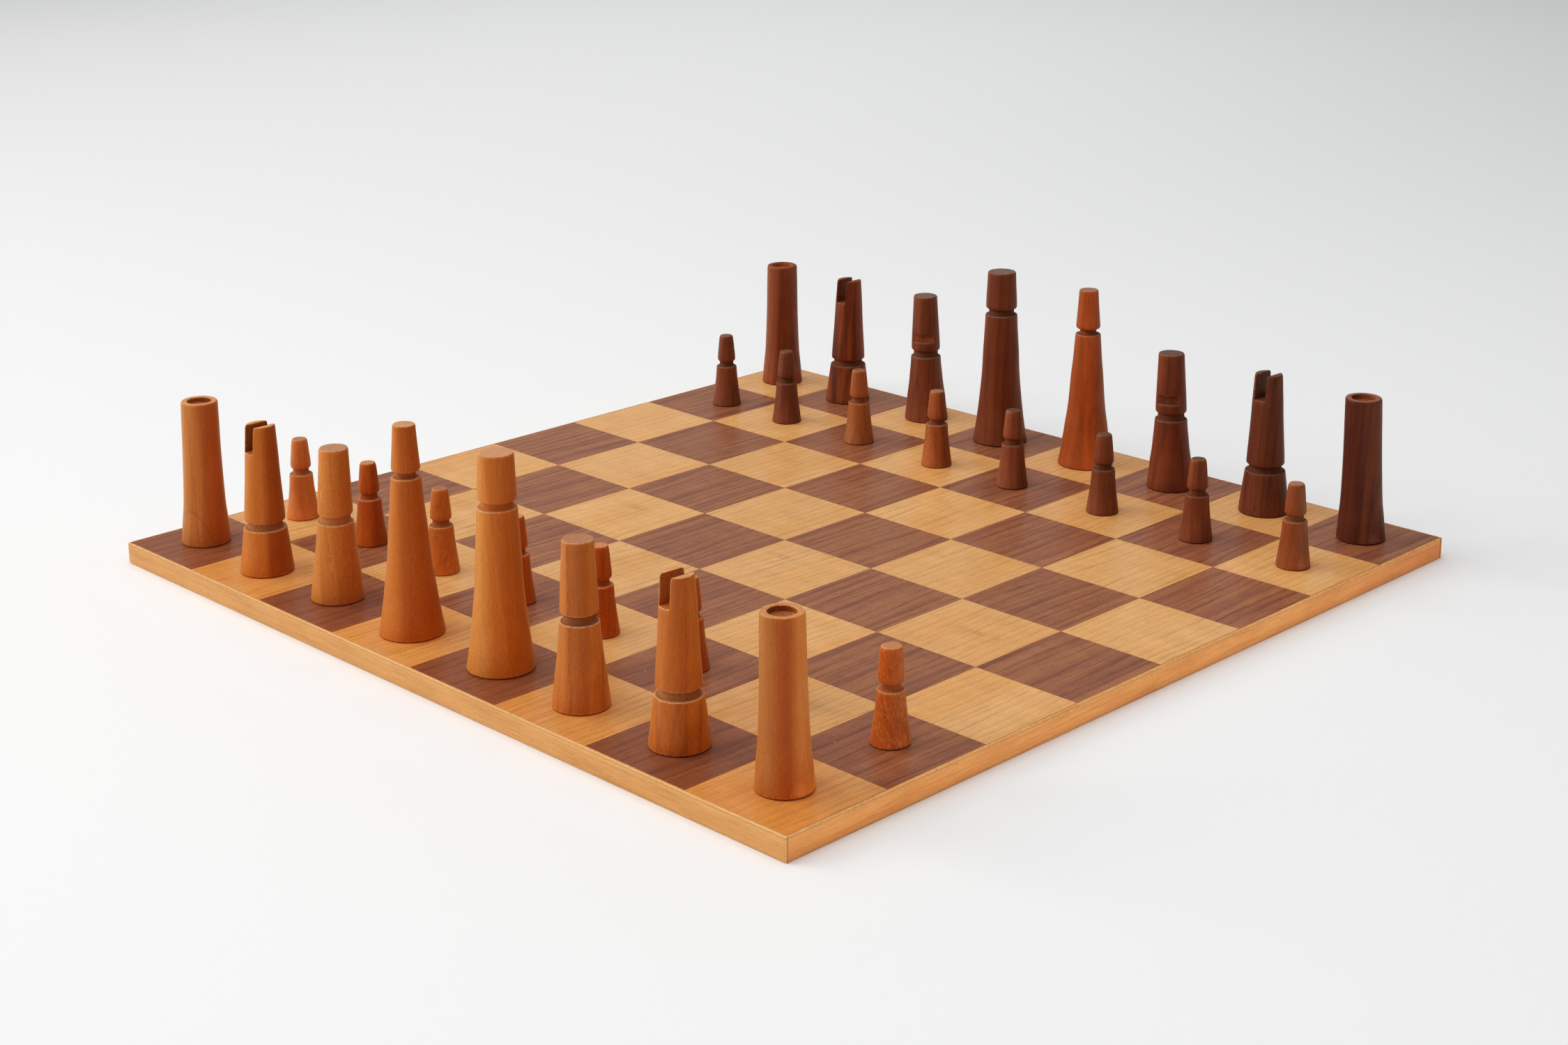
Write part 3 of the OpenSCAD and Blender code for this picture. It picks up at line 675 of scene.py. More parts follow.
def man_mesh(name, kind, soft=0.24, columns=96, longest=2.0):
    """The closed mesh of a man in millimetres, foot at zero: lists of vertices and faces, and the edges to soften."""
    rr, zz = outline(kind, soft)
    r, z = pick_rings(rr, zz, longest)
    top_z = PATTERN[kind][-1][0]
    verts, faces, soften = [], [], []
    n = columns

    def v(x, y, zc):
        verts.append((x, y, zc))
        return len(verts) - 1

    def strip(a, b, wrap=True, flip=False):
        """Quads between two rings of indices, a below b."""
        m = len(a)
        for c in range(m if wrap else m - 1):
            d = (c + 1) % m
            f = (a[c], a[d], b[d], b[c])
            f = tuple(dict.fromkeys(f))
            if len(f) > 2:
                faces.append(f[::-1] if flip else f)

    if kind == "knight":
        zf = top_z - SLOT_D
        r, z = with_ring_at(r, z, zf, 0.9, rr, zz)
        half = SLOT_W / 2
        kf = int(np.argmin(np.abs(z - zf) + (r < 3) * 99))
        last = next(k for k in range(kf, len(z)) if z[k] > top_z - 0.004)
        af = math.acos(half / r[kf])
        m = 12

        def angles(a):
            return np.r_[np.linspace(-a, a, 33)[:-1], np.linspace(a, math.pi - a, 17)[:-1],
                         np.linspace(math.pi - a, math.pi + a, 33)[:-1], np.linspace(math.pi + a, 2 * math.pi - a, 17)[:-1]]
        th = angles(af)
        low = [[v(r[k] * math.cos(t), r[k] * math.sin(t), z[k]) for t in th] for k in range(kf + 1)]
        foot = v(0, 0, z[0])
        for k in range(kf):
            strip(low[k], low[k + 1])
        for c in range(96):
            faces.append((foot, low[0][(c + 1) % 96], low[0][c]))
        ring = low[kf]
        ears = {"a": [ring[0:33]], "b": [ring[48:81]]}
        walls = {"a": [], "b": []}

        def wall_row(e, arc, zc):
            p, q = Vector(verts[arc[0]]), Vector(verts[arc[-1]])
            return [arc[0]] + [v(*(p.lerp(q, j / m).xy[:]), zc) for j in range(1, m)] + [arc[-1]]
        for e in "ab":
            walls[e].append(wall_row(e, ears[e][0], z[kf]))
        for k in range(kf + 1, last + 1):
            a = math.acos(half / r[k])
            for e, mid in (("a", 0.0), ("b", math.pi)):
                zc = top_z if k == last else z[k]
                arc = [v(r[k] * math.cos(t), r[k] * math.sin(t), zc) for t in np.linspace(mid - a, mid + a, 33)]
                ears[e].append(arc)
                walls[e].append(wall_row(e, arc, zc))
        for e in "ab":
            for k in range(len(ears[e]) - 1):
                strip(ears[e][k], ears[e][k + 1], wrap=False)
                strip(walls[e][k], walls[e][k + 1], wrap=False, flip=True)
            faces.append(tuple(ears[e][-1] + walls[e][-1][-2:0:-1]))
            soften += list(zip(walls[e][-1][:-1], walls[e][-1][1:]))
            for side in (0, -1):
                soften += [(ears[e][k][side], ears[e][k + 1][side]) for k in range(len(ears[e]) - 1)]
        # the slot's floor
        g1 = ring[32:49]
        g2 = [ring[(96 - i) % 96] for i in range(17)]
        grid = [walls["a"][0]]
        for i in range(1, 16):
            p, q = Vector(verts[g2[i]]), Vector(verts[g1[i]])
            grid.append([g2[i]] + [v(*(p.lerp(q, j / m)[:])) for j in range(1, m)] + [g1[i]])
        grid.append(walls["b"][0][::-1])
        for i in range(16):
            for j in range(m):
                faces.append((grid[i][j], grid[i][j + 1], grid[i + 1][j + 1], grid[i + 1][j]))
        soften += list(zip(g1[:-1], g1[1:])) + list(zip(g2[:-1], g2[1:]))
    elif kind == "bishop":
        z0, z1 = NOTCH_Z, NOTCH_Z + NOTCH_H
        r, z = with_ring_at(r, z, z0, 0.7, rr, zz)
        r, z = with_ring_at(r, z, z1, 0.7, rr, zz)
        k0, k1 = int(np.argmin(np.abs(z - z0))), int(np.argmin(np.abs(z - z1)))
        th_mid = math.acos(NOTCH_BACK / ((r[k0] + r[k1]) / 2))
        rings_, chords = [], {}
        for k in range(len(z)):
            th = math.acos(NOTCH_BACK / r[k]) if k0 <= k <= k1 else th_mid
            t = np.r_[np.linspace(math.pi / 2 - th, math.pi / 2 + th, 29)[:-1], np.linspace(math.pi / 2 + th, 2.5 * math.pi - th, 69)[:-1]]
            if k0 < k < k1:
                ends = [v(r[k] * math.cos(t[c]), r[k] * math.sin(t[c]), z[k]) for c in range(28, 96)]
                first = v(r[k] * math.cos(t[0]), r[k] * math.sin(t[0]), z[k])
                inner = [v(r[k] * math.cos(t[c]), NOTCH_BACK, z[k]) for c in range(1, 28)]
                rings_.append([first] + [None] * 27 + ends)
                chords[k] = [first] + inner + [ends[0]]
            else:
                full = [v(r[k] * math.cos(a), r[k] * math.sin(a), z[k]) for a in t]
                rings_.append(full)
                if k in (k0, k1):
                    inner = [v(r[k] * math.cos(t[c]), NOTCH_BACK, z[k]) for c in range(1, 28)]
                    chords[k] = [full[0]] + inner + [full[28]]
        for k in range(len(z) - 1):
            a, b = rings_[k], rings_[k + 1]
            if k0 <= k < k1:
                strip(a[28:] + [a[0]], b[28:] + [b[0]], wrap=False)
                strip(chords[k], chords[k + 1], wrap=False)
                soften += [(a[0], b[0]), (a[28], b[28])]
            else:
                strip(a, b)
        strip(rings_[k0][:29], chords[k0], wrap=False)
        strip(rings_[k1][:29], chords[k1], wrap=False, flip=True)
        for k in (k0, k1):
            soften += list(zip(rings_[k][:28], rings_[k][1:29]))
        foot, head = v(0, 0, 0), v(0, 0, top_z)
        for c in range(96):
            faces.append((foot, rings_[0][(c + 1) % 96], rings_[0][c]))
            faces.append((head, rings_[-1][c], rings_[-1][(c + 1) % 96]))
    else:
        rings_ = [[v(r[k] * math.cos(2 * math.pi * c / n), r[k] * math.sin(2 * math.pi * c / n), z[k]) for c in range(n)]
                  for k in range(len(z))]
        for k in range(len(z) - 1):
            strip(rings_[k], rings_[k + 1])
        foot, head = v(0, 0, zz[0]), v(0, 0, zz[-1])
        for c in range(n):
            faces.append((foot, rings_[0][(c + 1) % n], rings_[0][c]))
            faces.append((head, rings_[-1][c], rings_[-1][(c + 1) % n]))
    return verts, faces, soften


def curvature(me):
    """How sharply the surface bulges (above 0) or dips at each vertex, per millimetre, for a mesh in millimetres."""
    nv, ne = len(me.vertices), len(me.edges)
    co, no, ed = np.zeros(nv * 3), np.zeros(nv * 3), np.zeros(ne * 2, int)
    me.vertices.foreach_get("co", co)
    me.vertex_normals.foreach_get("vector", no)
    me.edges.foreach_get("vertices", ed)
    co, no, ed = co.reshape(-1, 3), no.reshape(-1, 3), ed.reshape(-1, 2)
    a, b = ed[:, 0], ed[:, 1]
    d = co[a] - co[b]
    l2 = np.maximum((d * d).sum(1), 1e-6)
    total, count = np.zeros(nv), np.zeros(nv)
    np.add.at(total, a, (no[a] * d).sum(1) / l2)
    np.add.at(total, b, -(no[b] * d).sum(1) / l2)
    np.add.at(count, a, 1)
    np.add.at(count, b, 1)
    return total / np.maximum(count, 1)


def smooth01(x, a, b):
    t = np.clip((x - a) / (b - a), 0, 1)
    return t * t * (3 - 2 * t)


def put_attr(me, name, values, kind="FLOAT"):
    at = me.attributes.new(name, kind, "POINT")
    at.data.foreach_set("value" if kind == "FLOAT" else "vector", np.asarray(values, np.float32).ravel())


def build_man(node, kind, turn=0.0, lean=(0.0, 0.0), soft=0.24, material=None, seed=1.0, chips=1.0, torn=0.0, fuller=()):
    """One man as a new object that stands for its CAD node, at the node's own place."""
    columns, longest = (72, 1.6) if kind == "pawn" else (96, 2.0)
    verts, faces, soften = man_mesh(node, kind, soft, columns, longest)
    me = bpy.data.meshes.new(node + "_turned")
    me.from_pydata([Vector(p) for p in verts], [], faces)
    bm = bmesh.new()
    bm.from_mesh(me)
    bm.verts.ensure_lookup_table()
    if soften:
        edges = []
        for a, b in soften:
            e = bm.edges.get((bm.verts[a], bm.verts[b]))
            if e is not None:
                edges.append(e)
        bmesh.ops.bevel(bm, geom=list(set(edges)), offset=0.3 if kind == "knight" else 0.16, segments=3 if kind == "knight" else 2, profile=0.5,
                        affect="EDGES", clamp_overlap=False)
    bmesh.ops.recalc_face_normals(bm, faces=bm.faces)
    if bm.calc_volume(signed=True) < 0:
        bmesh.ops.reverse_faces(bm, faces=bm.faces)
    bm.to_mesh(me)
    bm.free()
    # the curvature marks worn edges, before the hand of the turner roughens the shape a little
    k = curvature(me)
    nv = len(me.vertices)
    co = np.zeros(nv * 3)
    me.vertices.foreach_get("co", co)
    co = co.reshape(-1, 3)
    r, zc = np.hypot(co[:, 0], co[:, 1]), co[:, 2]
    wear = smooth01(k, 0.12, 0.55)
    grime_and_shade = np.zeros(nv)
    if kind in GROOVE:
        z0, z1 = GROOVE[kind]
        pat = np.array(PATTERN[kind])
        r0, r1 = np.interp([z0, z1], pat[:, 0], pat[:, 1])
        t = np.clip((zc - z0) / (z1 - z0), 0, 1)
        inside = (zc > z0 - 0.2) & (zc < z1 + 0.2)
        grime_and_shade = np.where(inside, smooth01(r0 + (r1 - r0) * t - r, 0.15, 1.1), 0)
    h = PATTERN[kind][-1][0]
    well = np.zeros(nv)
    if kind == "rook":
        well = np.where((r < RECESS_R + 0.2) & (zc > h - 3.4), smooth01(h - zc, 0.15, 0.6), 0)
    if kind == "knight":
        well = np.where((np.abs(co[:, 0]) < SLOT_W / 2 + 0.02) & (zc > h - SLOT_D - 0.05), smooth01(h - zc, 0.2, 1.2), 0)
    if kind == "bishop":
        well = np.where((zc > NOTCH_Z - 0.05) & (zc < NOTCH_Z + NOTCH_H + 0.05) & (co[:, 1] > NOTCH_BACK - 0.3) & (r < 6.6), 1.0, 0)
    # small irregularities of hand turning, and nicks along the arrises
    push = np.zeros(nv)
    for i in range(nv):
        p = co[i]
        a = noise.noise(Vector((p[0] * 0.16 + seed * 5, p[1] * 0.16, p[2] * 0.05)))
        push[i] = 0.05 * a
        if wear[i] > 0.2:
            b = noise.noise(Vector((p[0] * 1.1 + seed * 9, p[1] * 1.1, p[2] * 1.1)))
            push[i] -= chips * 0.14 * wear[i] * max(0.0, b - 0.15)
    rad = np.maximum(r, 1e-6)
    keep = smooth01(r, 0.8, 2.5) * np.where(zc < 0.02, 0, 1)
    flat = np.where((zc > h - 0.02), 0.4, 1.0)
    if torn and kind in GROOVE:
        z0, z1 = GROOVE[kind]
        for level, side, size in ((z0, 1, 0.16), (z1, -1, 0.24)):
            near = np.exp(-((zc - level) / 0.55) ** 2) * smooth01(r, np.interp((z0 + z1) / 2, pat[:, 0], pat[:, 1]) + 0.1, r0 - 0.2)
            for i in np.nonzero(near > 0.05)[0]:
                a = math.atan2(co[i, 1], co[i, 0])
                b = noise.noise(Vector((math.cos(a) * 9.0 + seed, math.sin(a) * 9.0, side * 3.0)))
                co[i, 2] += side * torn * size * near[i] * (b - 0.1) * 2.2
    co[:, 0] += co[:, 0] / rad * push * keep * flat
    co[:, 1] += co[:, 1] / rad * push * keep * flat
    if fuller:
        k = np.interp(zc, [q[0] for q in fuller], [q[1] for q in fuller])
        co[:, 0], co[:, 1] = co[:, 0] * k, co[:, 1] * k
    c, s = math.cos(math.radians(turn)), math.sin(math.radians(turn))
    x, y = co[:, 0] * c - co[:, 1] * s, co[:, 0] * s + co[:, 1] * c
    co[:, 0], co[:, 1] = x + lean[0] * zc / h, y + lean[1] * zc / h
    me.vertices.foreach_set("co", (co * MM).ravel())
    put_attr(me, "wear", wear)
    put_attr(me, "grime_and_shade", grime_and_shade)
    put_attr(me, "well", well)
    me.update()
    for p in me.polygons:
        p.use_smooth = True
    me.set_sharp_from_angle(angle=math.radians(38))
    me.materials.append(material)
    o = bpy.data.objects.new(node + "_finish", me)
    scene.collection.objects.link(o)
    lo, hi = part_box(node)
    o.location = ((lo.x + hi.x) / 2, (lo.y + hi.y) / 2, lo.z)
    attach(o, node)
    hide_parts(node)
    return o


# every man one by one: kind, turn, lean at the top in mm, and its own piece of wood
RIGHT = 45.0
MEN = {
    "light_rook_a": ("rook", 0, (0.4, 0.4), dict(tone=LIGHT_DULL, seed=1.3, tint=(1.14, 1.11, 0.98), tilt=(3, -2), heart=(30, 16), spacing=6.2, rings=0.22, groove=0.5,
                     planes=((RIGHT, 2.2, 0.02, 3.0, 0, (0.86, 0.70, 0.68), 0, 0), (RIGHT, -0.6, 0.05, 0.5, 0.25, 0.05, 0, 0), (RIGHT + 60, -4, 0.3, 0.7, 0.25, 0, 0, 0)))),
    "light_knight_b": ("knight", -1, (0.2, 0.2), dict(tone=LIGHT, seed=2.1, tint=(1.07, 1.15, 1.11), tilt=(1, 1), spacing=5.4, rings=0.12, streaks=0.2, groove=0.95, neck=lin(172, 116, 70), painted_hollow_shading=0.45,
                       planes=((RIGHT, 2.4, 0.0, 3.0, 0, (0.70, 0.60, 0.62), 0, 0),))),
    "light_bishop_c": ("bishop", 16, (0.8, 0.8), dict(tone=LIGHT_GOLD, seed=3.7, tint=(1.06, 1.05, 0.99), tilt=(3, 3), spacing=4.4, rings=0.18, groove=0.8, neck=lin(190, 122, 66), top=lin(168, 118, 89),
                       planes=((RIGHT, 3.0, 0.0, 3.0, 0, (0.88, 0.82, 0.82), 0, 0), (RIGHT, 1.5, 0.12, 0.35, 0.35, 0.05, 0.5, 0.6), (RIGHT, -4.6, 0.0, 0.5, 0.2, -0.04, 0, 0)))),
    "light_queen": ("queen", 0, (0, 0), dict(tone=LIGHT, seed=4.4, tint=(1.05, 1.10, 1.01), top=lin(197, 142, 98), tilt=(1, -2), spacing=7.0, rings=0.10, streaks=0.2, flecks=0.3, groove=0.8, neck=lin(182, 104, 46),
                    planes=((RIGHT, -2.6, 0.0, 3.0, 0, (0.85, 0.76, 0.72), 0, 0), (RIGHT, 1.6, 0.0, 0.25, 0.35, 0, 0, 0)))),
    "light_king": ("king", 0, (0.38, 0.38), dict(tone=LIGHT_GOLD, seed=5.2, tint=(1.09, 1.12, 1.09), tilt=(1, 2), spacing=5.0, rings=0.14, streaks=0.3, flecks=0.5, groove=0.6, neck=lin(196, 108, 42), top=lin(196, 137, 101),
                   planes=((RIGHT, -3.4, 0.0, 3.0, 0, (1.0, 0.84, 0.6), 0, 0), (RIGHT, -5.4, 0.012, 0.22, 0, 0, 0.4, 0), (RIGHT + 8, 4.0, 0.10, 0.8, 0.15, -0.10, 0, 0)))),
    "light_bishop_f": ("bishop", 20, (0, 0), dict(tone=LIGHT_GOLD, seed=6.6, tint=(0.95, 0.87, 0.82), tilt=(0.5, 0.5), spacing=5.6, rings=0.2, streaks=0.4, groove=0.95, neck=lin(138, 82, 42), top=lin(165, 108, 82), worn=0.9, lip=0.15,
                       planes=((RIGHT, 3.2, 0.0, 2.6, 0, (1.25, 1.4, 1.5), 0, 0), (RIGHT, -3.4, 0.0, 0.35, 0.75, -0.07, 0.2, 0), (RIGHT, -2.7, 0.0, 0.7, 0.25, 0, 0, 0), (RIGHT, 8.2, 0.0, 0.3, 0.6, 0, 0, 0)))),
    "light_knight_g": ("knight", -4, (0, 0), dict(tone=LIGHT, seed=7.9, tint=(1.02, 1.05, 1.07), tilt=(3, -3), heart=(26, 4), spacing=3.6, rings=0.22, groove=0.95, neck=lin(176, 118, 68), worn=0.95, lip=0.3, painted_hollow_shading=0.1,
                       planes=((RIGHT, 3.2, 0.0, 2.6, 0, (1.24, 1.3, 1.1), 0, 0), (-45, 8.2, 0.20, 0.45, 0.45, -0.04, 0, 0), (-45, 9.2, 0.26, 0.4, 0.35, 0, 0, 0), (RIGHT, 2.4, -0.01, 0.3, 0.3, -0.05, 0, 0)))),
    "light_rook_h": ("rook", 0, (-0.4, -0.4), dict(tone=LIGHT_ROSE, seed=8.2, tilt=(1, 0.5), spacing=4.2, rings=0.16, streaks=0.3, flecks=0.8, groove=0.5, worn=0.9, lip=0.1, painted_hollow_shading=0.33, top=lin(192, 124, 74), fuzzy_top=0.7,
                    planes=((RIGHT, -3.4, 0.01, 4.4, 0, (1.04, 0.75, 0.42), 0, 0), (RIGHT, 3.2, 0.012, 4.2, 0, (1.55, 2.0, 3.3), 0, 0), (RIGHT, 0.6, 0.008, 2.0, 0.10, 0, 0, 0),
                            (RIGHT, 2.2, 0.0, 0.5, 0.10, 0, 0, 0), (RIGHT, -1.4, 0.01, 0.4, 0.10, 0, 0, 0)))),
    "light_pawn_a": ("pawn", 0, (0, 0), dict(tone=LIGHT_TAN, seed=11.1, tint=(1.12, 1.00, 0.90), top=lin(155, 103, 74), flecks=0.7, groove=0.7, worn=0.4, lip=0.1)),
    "light_pawn_b": ("pawn", 0, (0, 0), dict(tone=LIGHT_BROWN, seed=12.4, tint=(1.15, 1.08, 1.00), top=lin(190, 128, 80), flecks=0.7, groove=0.6, worn=0.4, lip=0.1,
                     planes=((RIGHT, 1.6, 0.0, 2.4, 0, (0.74, 0.66, 0.70), 0, 0),))),
    "light_pawn_c": ("pawn", 0, (0, 0), dict(tone=LIGHT_GOLD, seed=13.8, tint=(1.02, 0.94, 0.89), top=lin(142, 88, 67), flecks=0.9, groove=0.6, worn=0.5, lip=0.15, tilt=(16, 9), fuzz=0.25, hair=0.25)),
    "light_pawn_d": ("pawn", 0, (0, 0), dict(tone=LIGHT_RED, seed=14.2, groove=0.4)),
    "light_pawn_e": ("pawn", 0, (0, 0), dict(tone=LIGHT_RED, seed=15.5, groove=0.4)),
    "light_pawn_f": ("pawn", 0, (0, 0), dict(tone=LIGHT_RED, seed=16.9, groove=0.4)),
    "light_pawn_g": ("pawn", 0, (0, 0), dict(tone=LIGHT_RED, seed=17.3, groove=0.4)),
    "light_pawn_h": ("pawn", 0, (0.2, 0.2), dict(tone=LIGHT, seed=18.6, tint=(1.08, 0.98, 0.96), top=lin(183, 122, 80), tilt=(14, 9), spacing=1.8, rings=0.3, flecks=0.9, groove=0.5, worn=0.6, lip=0.2, hair=0.75)),
    "dark_rook_a": ("rook", 0, (0.12, 0.12), dict(tone=DARK_RED, seed=21.2, tint=(0.98, 1.02, 1.06), spacing=3.4, rings=0.35, streaks=0.55, painted_hollow_shading=-0.8, top=lin(112, 66, 46))),
    "dark_knight_b": ("knight", 0, (0.5, 0.5), dict(tone=DARK_RED, seed=22.5, tint=(1.03, 1.06, 1.03), spacing=4.6, rings=0.6, streaks=0.9, painted_hollow_shading=0.1,
                      planes=((RIGHT, -7.0, 0.0, 2.6, 0.8, 0, 0, 0), (RIGHT, -0.8, 0.0, 1.0, 0.35, 0, 0, 0), (RIGHT, 3.4, 0.0, 1.0, 0.4, 0, 0, 0)))),
    "dark_bishop_c": ("bishop", -150, (-0.78, -0.78), dict(tone=DARK_BROWN, seed=23.1, tint=(1.02, 1.01, 1.06), top=lin(107, 85, 77), spacing=3.0, rings=0.35, streaks=0.8, painted_hollow_shading=-0.9)),
    "dark_king": ("king", 0, (-0.28, -0.28), dict(tone=DARK, seed=24.7, tint=(1.13, 1.15, 1.13), top=lin(108, 92, 86), spacing=4.0, rings=0.28, streaks=0.5)),
    "dark_queen": ("queen", 0, (-0.25, -0.25), dict(tone=DARK_ORANGE, seed=25.3, tint=(0.98, 0.97, 1.01), top=lin(144, 106, 91), spacing=4.4, rings=0.28, streaks=0.5, flecks=0.8,
                    planes=((RIGHT, -2.8, 0.0, 2.4, 0, (1.36, 1.3, 1.35), 0, 0), (RIGHT, 3.0, 0.0, 2.4, 0, (0.72, 0.86, 1.1), 0, 0)))),
    "dark_bishop_f": ("bishop", -157, (-1.1, -1.1), dict(tone=DARK_DULL, seed=26.8, tint=(1.15, 1.01, 0.93), top=lin(87, 69, 63), spacing=3.0, rings=0.45, streaks=0.8, painted_hollow_shading=-0.5, lip=0.2)),
    "dark_knight_g": ("knight", -2, (-0.2, -0.2), dict(tone=DARK, seed=27.4, tint=(1.03, 1.12, 1.19), spacing=3.2, rings=0.35, streaks=0.8, flecks=0.8, painted_hollow_shading=0.1)),
    "dark_rook_h": ("rook", 0, (-1.4, -1.4), dict(tone=DARK, seed=28.9, tint=(1.06, 1.03, 1.03), spacing=3.6, rings=0.4, streaks=0.8, flecks=0.7, painted_hollow_shading=-0.8, top=lin(138, 90, 66),
                    planes=((RIGHT + 180, 2.0, 0.0, 3.0, 0, (0.68, 0.66, 0.78), 0, 0),))),
    "dark_pawn_a": ("pawn", 0, (0, 0), dict(tone=DARK_BROWN, seed=31.2, tint=(1.07, 1.06, 1.09), top=lin(117, 84, 70), streaks=0.8)),
    "dark_pawn_b": ("pawn", 0, (0, 0), dict(tone=DARK_DULL, seed=32.7, tint=(1.05, 1.12, 1.21), top=lin(95, 59, 41), streaks=0.8)),
    "dark_pawn_c": ("pawn", 0, (0, 0), dict(tone=DARK_TAN, seed=33.3, tint=(1.01, 1.02, 0.94), top=lin(113, 70, 48), flecks=0.8, fuzz=0.3, hair=0.35, worn=0.9, lip=0.2)),
    "dark_pawn_d": ("pawn", 0, (0, 0), dict(tone=DARK_AMBER, seed=34.8, tint=(1.18, 1.23, 1.30), top=lin(142, 99, 73), streaks=0.5, fuzz=0.25, hair=0.3, worn=0.9, lip=0.2,
                    planes=((RIGHT, 1.4, 0.0, 2.2, 0, (0.66, 0.66, 0.70), 0, 0),))),
    "dark_pawn_e": ("pawn", 0, (0, 0), dict(tone=DARK_BROWN, seed=35.1, tint=(1.30, 1.28, 1.33), top=lin(73, 50, 41), streaks=0.5,
                    planes=((RIGHT, 1.6, 0.0, 2.0, 0, (0.74, 0.72, 0.72), 0, 0),))),
    "dark_pawn_f": ("pawn", 0, (0, 0), dict(tone=DARK_DULL, seed=36.4, tint=(1.18, 1.20, 1.20), top=lin(90, 58, 46), streaks=0.8)),
    "dark_pawn_g": ("pawn", 0, (0, 0), dict(tone=DARK_RED, seed=37.9, tint=(0.99, 1.11, 1.24), top=lin(93, 64, 52), streaks=0.8)),
    "dark_pawn_h": ("pawn", 0, (0, 0), dict(tone=DARK_AMBER, seed=38.5, tint=(0.88, 0.90, 0.99), top=lin(159, 112, 85), streaks=0.5,
                    planes=((RIGHT, 0.4, 0.0, 3.0, 0, (1.04, 1.22, 1.5), 0, 0),))),
}
for node_, (kind_, turn_, lean_, wood_) in MEN.items():
    build_man(node_, kind_, turn_, lean_, soft=0.13 if kind_ == "pawn" else 0.16,
              material=man_wood(node_ + "_wood", **wood_), seed=wood_["seed"],
              torn={"light_bishop_f": 0.8, "light_knight_g": 1.0, "light_knight_b": 0.4}.get(node_, 0.0),
              # one pawn's head is fuller and straighter than the others'
              fuller=((22.4, 1.0), (23.4, 1.05), (27.0, 1.08), (32.0, 1.13), (35.8, 1.17)) if node_ == "light_pawn_h" else ())

# ------------------------------------------------------------------ the board
PANEL, BAND, PITCH, SEAM = 395.0, 1.0, 50.0, 0.1
FACE_Z0, FACE_Z1 = 8.6, 9.2


def squares(node, odd, material):
    """The 32 face squares of one colour, each a thin closed plate with a fine arris round its face.
    They were cut from strips that run along the grain, so the squares of a strip share their figure."""
    verts, faces, grain = [], [], []
    for i in range(8):
        for j in range(8):
            if (i + j) % 2 != odd:
                continue
            x0 = max(-PANEL / 2, (i - 4) * PITCH) + SEAM / 2
            x1 = min(PANEL / 2, (i - 3) * PITCH) - SEAM / 2
            y0 = max(-PANEL / 2, (j - 4) * PITCH) + SEAM / 2
            y1 = min(PANEL / 2, (j - 3) * PITCH) - SEAM / 2
            strip = i + (j % 2)
            h = noise.noise(Vector((i * 3.7 + 0.3, j * 5.1 + 0.7, odd * 9.0 + 0.1)))
            seed = min(1.0, max(0.0, 0.5 + h))
            b = len(verts)
            c = 0.07
            for inset, zc in ((0, FACE_Z0), (0, FACE_Z1 - c), (c, FACE_Z1)):
                for x, y in ((x0 + inset, y0 + inset), (x1 - inset, y0 + inset), (x1 - inset, y1 - inset), (x0 + inset, y1 - inset)):
                    verts.append((x * MM, y * MM, zc * MM))
                    grain.append((x - (i - 4) * PITCH + strip * 143.0 + 37.0, y + 500.0 + strip * 71.0, seed))
            faces.append((b + 3, b + 2, b + 1, b))
            for lv in (0, 4):
                for q in range(4):
                    w = (q + 1) % 4
                    faces.append((b + lv + q, b + lv + w, b + lv + 4 + w, b + lv + 4 + q))
            faces.append((b + 8, b + 9, b + 10, b + 11))
    me = bpy.data.meshes.new(node + "_veneer")
    me.from_pydata(verts, [], faces)
    me.update()
    put_attr(me, "grain", grain, "FLOAT_VECTOR")
    me.materials.append(material)
    o = bpy.data.objects.new(node + "_veneer", me)
    scene.collection.objects.link(o)
    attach(o, "board")
    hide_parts(node)
    return o


squares("light_squares", 1, light_veneer())
squares("dark_squares", 0, dark_veneer())


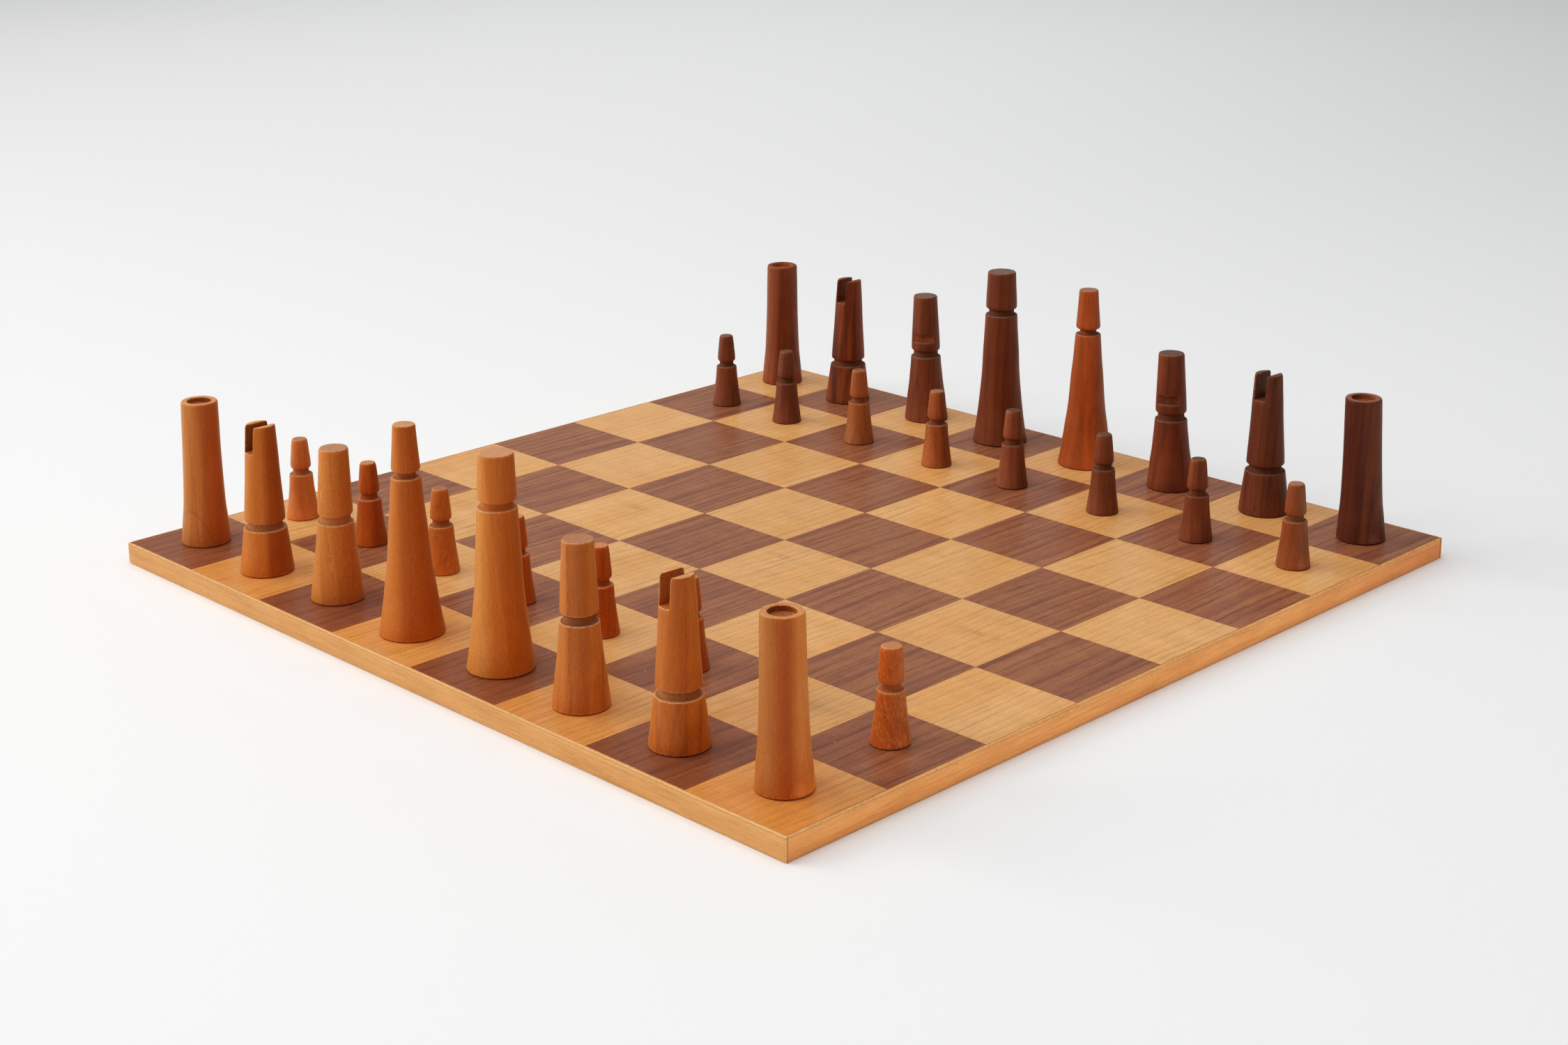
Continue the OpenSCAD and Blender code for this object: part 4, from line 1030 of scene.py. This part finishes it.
def edge_band(node, along, material, seed):
    """One edge band: a thin solid strip with worn, slightly uneven arrises."""
    lo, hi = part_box(node)
    lo, hi = np.array(lo) / MM, np.array(hi) / MM
    axis = 0 if along == "x" else 1
    other = 1 - axis
    length = hi[axis] - lo[axis]
    cuts = 132
    # section of the band, going round: across the thickness and up
    t0, t1, z0, z1 = lo[other], hi[other], lo[2], hi[2]
    outer = t1 if abs(t1) > abs(t0) else t0
    inner = t0 if outer == t1 else t1
    sgn = 1 if outer > inner else -1
    sec = [(inner, z0), (outer - sgn * 0.35, z0), (outer - sgn * 0.10, z0 + 0.10), (outer, z0 + 0.35),
           (outer, z0 + 2.4), (outer, (z0 + z1) / 2), (outer, z1 - 2.4),
           (outer, z1 - 0.30), (outer - sgn * 0.09, z1 - 0.09), (outer - sgn * 0.30, z1), (inner, z1)]
    m = len(sec)
    verts, grain, wear, grime_and_shade, rings_ = [], [], [], [], []
    ends = [0.0, 0.12, 0.3, 0.55, 0.9, 1.3, 1.75, 2.3]
    along_it = ([lo[axis] + e for e in ends] + [lo[axis] + length * k / cuts for k in range(1, cuts)] + [hi[axis] - e for e in reversed(ends)])
    for s in along_it:
        ring = []
        e = min(s - lo[axis], 1.8)
        lift_low = 1.8 - math.sqrt(max(0.0, 1.8 ** 2 - (1.8 - e) ** 2)) if node == "edge_band_light_side" else 0.0
        e = min(s - lo[axis], 0.6)
        drop_top = 0.6 - math.sqrt(max(0.0, 0.6 ** 2 - (0.6 - e) ** 2)) if node == "edge_band_light_side" else 0.0
        for q, (t, zc) in enumerate(sec):
            wob = noise.noise(Vector((s * 0.11 + seed, zc * 0.4, seed * 3.0)))
            chip = noise.noise(Vector((s * 0.55 + seed * 7, zc * 0.8, seed)))
            tt, zz_ = t, zc
            if q in (7, 8, 9) or q in (1, 2, 3):
                amount = 0.05 * (0.5 + 0.5 * wob) + 0.16 * max(0.0, chip - 0.25)
                tt = t - sgn * amount * (0.4 if q in (9, 1) else 1.0)
                zz_ = zc - amount * 0.5 if q in (8, 9) else (zc + amount * 0.5 if q in (1, 2) else zc)
            # knocked corners of the board
            near = min(s - lo[axis], hi[axis] - s)
            if near < 2.5 and t == outer or (near < 2.5 and q in (1, 2, 8, 9)):
                pull = 0.22 * (1 - near / 2.5) ** 2
                tt -= sgn * pull
            p = [0, 0, min(max(zz_, z0 + lift_low), z1 - drop_top)]
            p[axis], p[other] = s, tt
            verts.append(tuple(c * MM for c in p))
            grain.append((zc + (outer - t) * sgn * 0.9 + seed * 19.0, s + seed * 401.0, (t - outer) * sgn))
            wear.append(1.0 if q in (8,) else (0.75 if q in (7, 9) else (0.25 if q in (2, 3) else 0.0)))
            # grime in the glue line at the top inner edge; painted shade along the bottom, under the board
            grime_and_shade.append(0.55 if q in (0, 1) else (0.8 if q == 10 else 0.0))
            ring.append(len(verts) - 1)
        rings_.append(ring)
    faces = []
    for k in range(len(rings_) - 1):
        a, b = rings_[k], rings_[k + 1]
        for q in range(m):
            w = (q + 1) % m
            faces.append((a[q], a[w], b[w], b[q]))
    faces.append(tuple(rings_[0][::-1]))
    faces.append(tuple(rings_[-1]))
    me = bpy.data.meshes.new(node + "_strip")
    me.from_pydata(verts, [], faces)
    me.update()
    bm = bmesh.new()
    bm.from_mesh(me)
    bmesh.ops.recalc_face_normals(bm, faces=bm.faces)
    bm.to_mesh(me)
    bm.free()
    put_attr(me, "grain", grain, "FLOAT_VECTOR")
    put_attr(me, "wear", wear)
    put_attr(me, "grime_and_shade", grime_and_shade)
    for p in me.polygons:
        p.use_smooth = True
    me.set_sharp_from_angle(angle=math.radians(40))
    me.materials.append(material)
    o = bpy.data.objects.new(node + "_strip", me)
    scene.collection.objects.link(o)
    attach(o, "board")
    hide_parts(node)
    return o


BAND_BASE, BAND_LINE = lin(228, 166, 98), lin(206, 138, 72)
BAND2_BASE, BAND2_LINE = lin(224, 152, 84), lin(196, 118, 56)
edge_band("edge_band_light_side", "x", band_wood("edge_band_light_side_wood", BAND_BASE, BAND_LINE, 1.0, "x"), 1.0)
edge_band("edge_band_dark_side", "x", band_wood("edge_band_dark_side_wood", BAND_BASE, BAND_LINE, 2.0, "x", lin(196, 126, 76)), 2.0)
edge_band("edge_band_left", "y", band_wood("edge_band_left_wood", BAND2_BASE, BAND2_LINE, 3.0, "y"), 3.0)
edge_band("edge_band_right", "y", band_wood("edge_band_right_wood", BAND2_BASE, BAND2_LINE, 4.0, "y"), 4.0)

for node_, mat_ in (("core_panel", hidden_wood("core_panel_wood", lin(196, 158, 112), 1.0)),
                    ("backing_veneer", hidden_wood("backing_veneer_wood", lin(168, 112, 66), 1.6))):
    o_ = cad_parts[node_]
    if not o_.data.materials:
        o_.data.materials.append(mat_)
    for s_ in o_.material_slots:
        s_.material = mat_

# ------------------------------------------------------------------ floor
n = Net("floor_paint")
p_ = n.mapping(n.coord("Object"), scale=(1, 1, 1))
mott = n.noise(p_, scale=3.0, detail=3, rough=0.5)
fl = n.mix(n.mul(mott, 0.5), (0.88, 0.88, 0.875, 1), (0.86, 0.862, 0.86, 1))
floor_mat = n.finish(fl, n.mad(mott, 0.1, 0.6), n.bump(n.noise(p_, scale=160, detail=2), 0.0001), specular=0.3)
bm = bmesh.new()
bmesh.ops.create_grid(bm, x_segments=24, y_segments=24, size=6.0)
me = bpy.data.meshes.new("floor")
bm.to_mesh(me)
bm.free()
me.materials.append(floor_mat)
floor = bpy.data.objects.new("floor", me)
scene.collection.objects.link(floor)
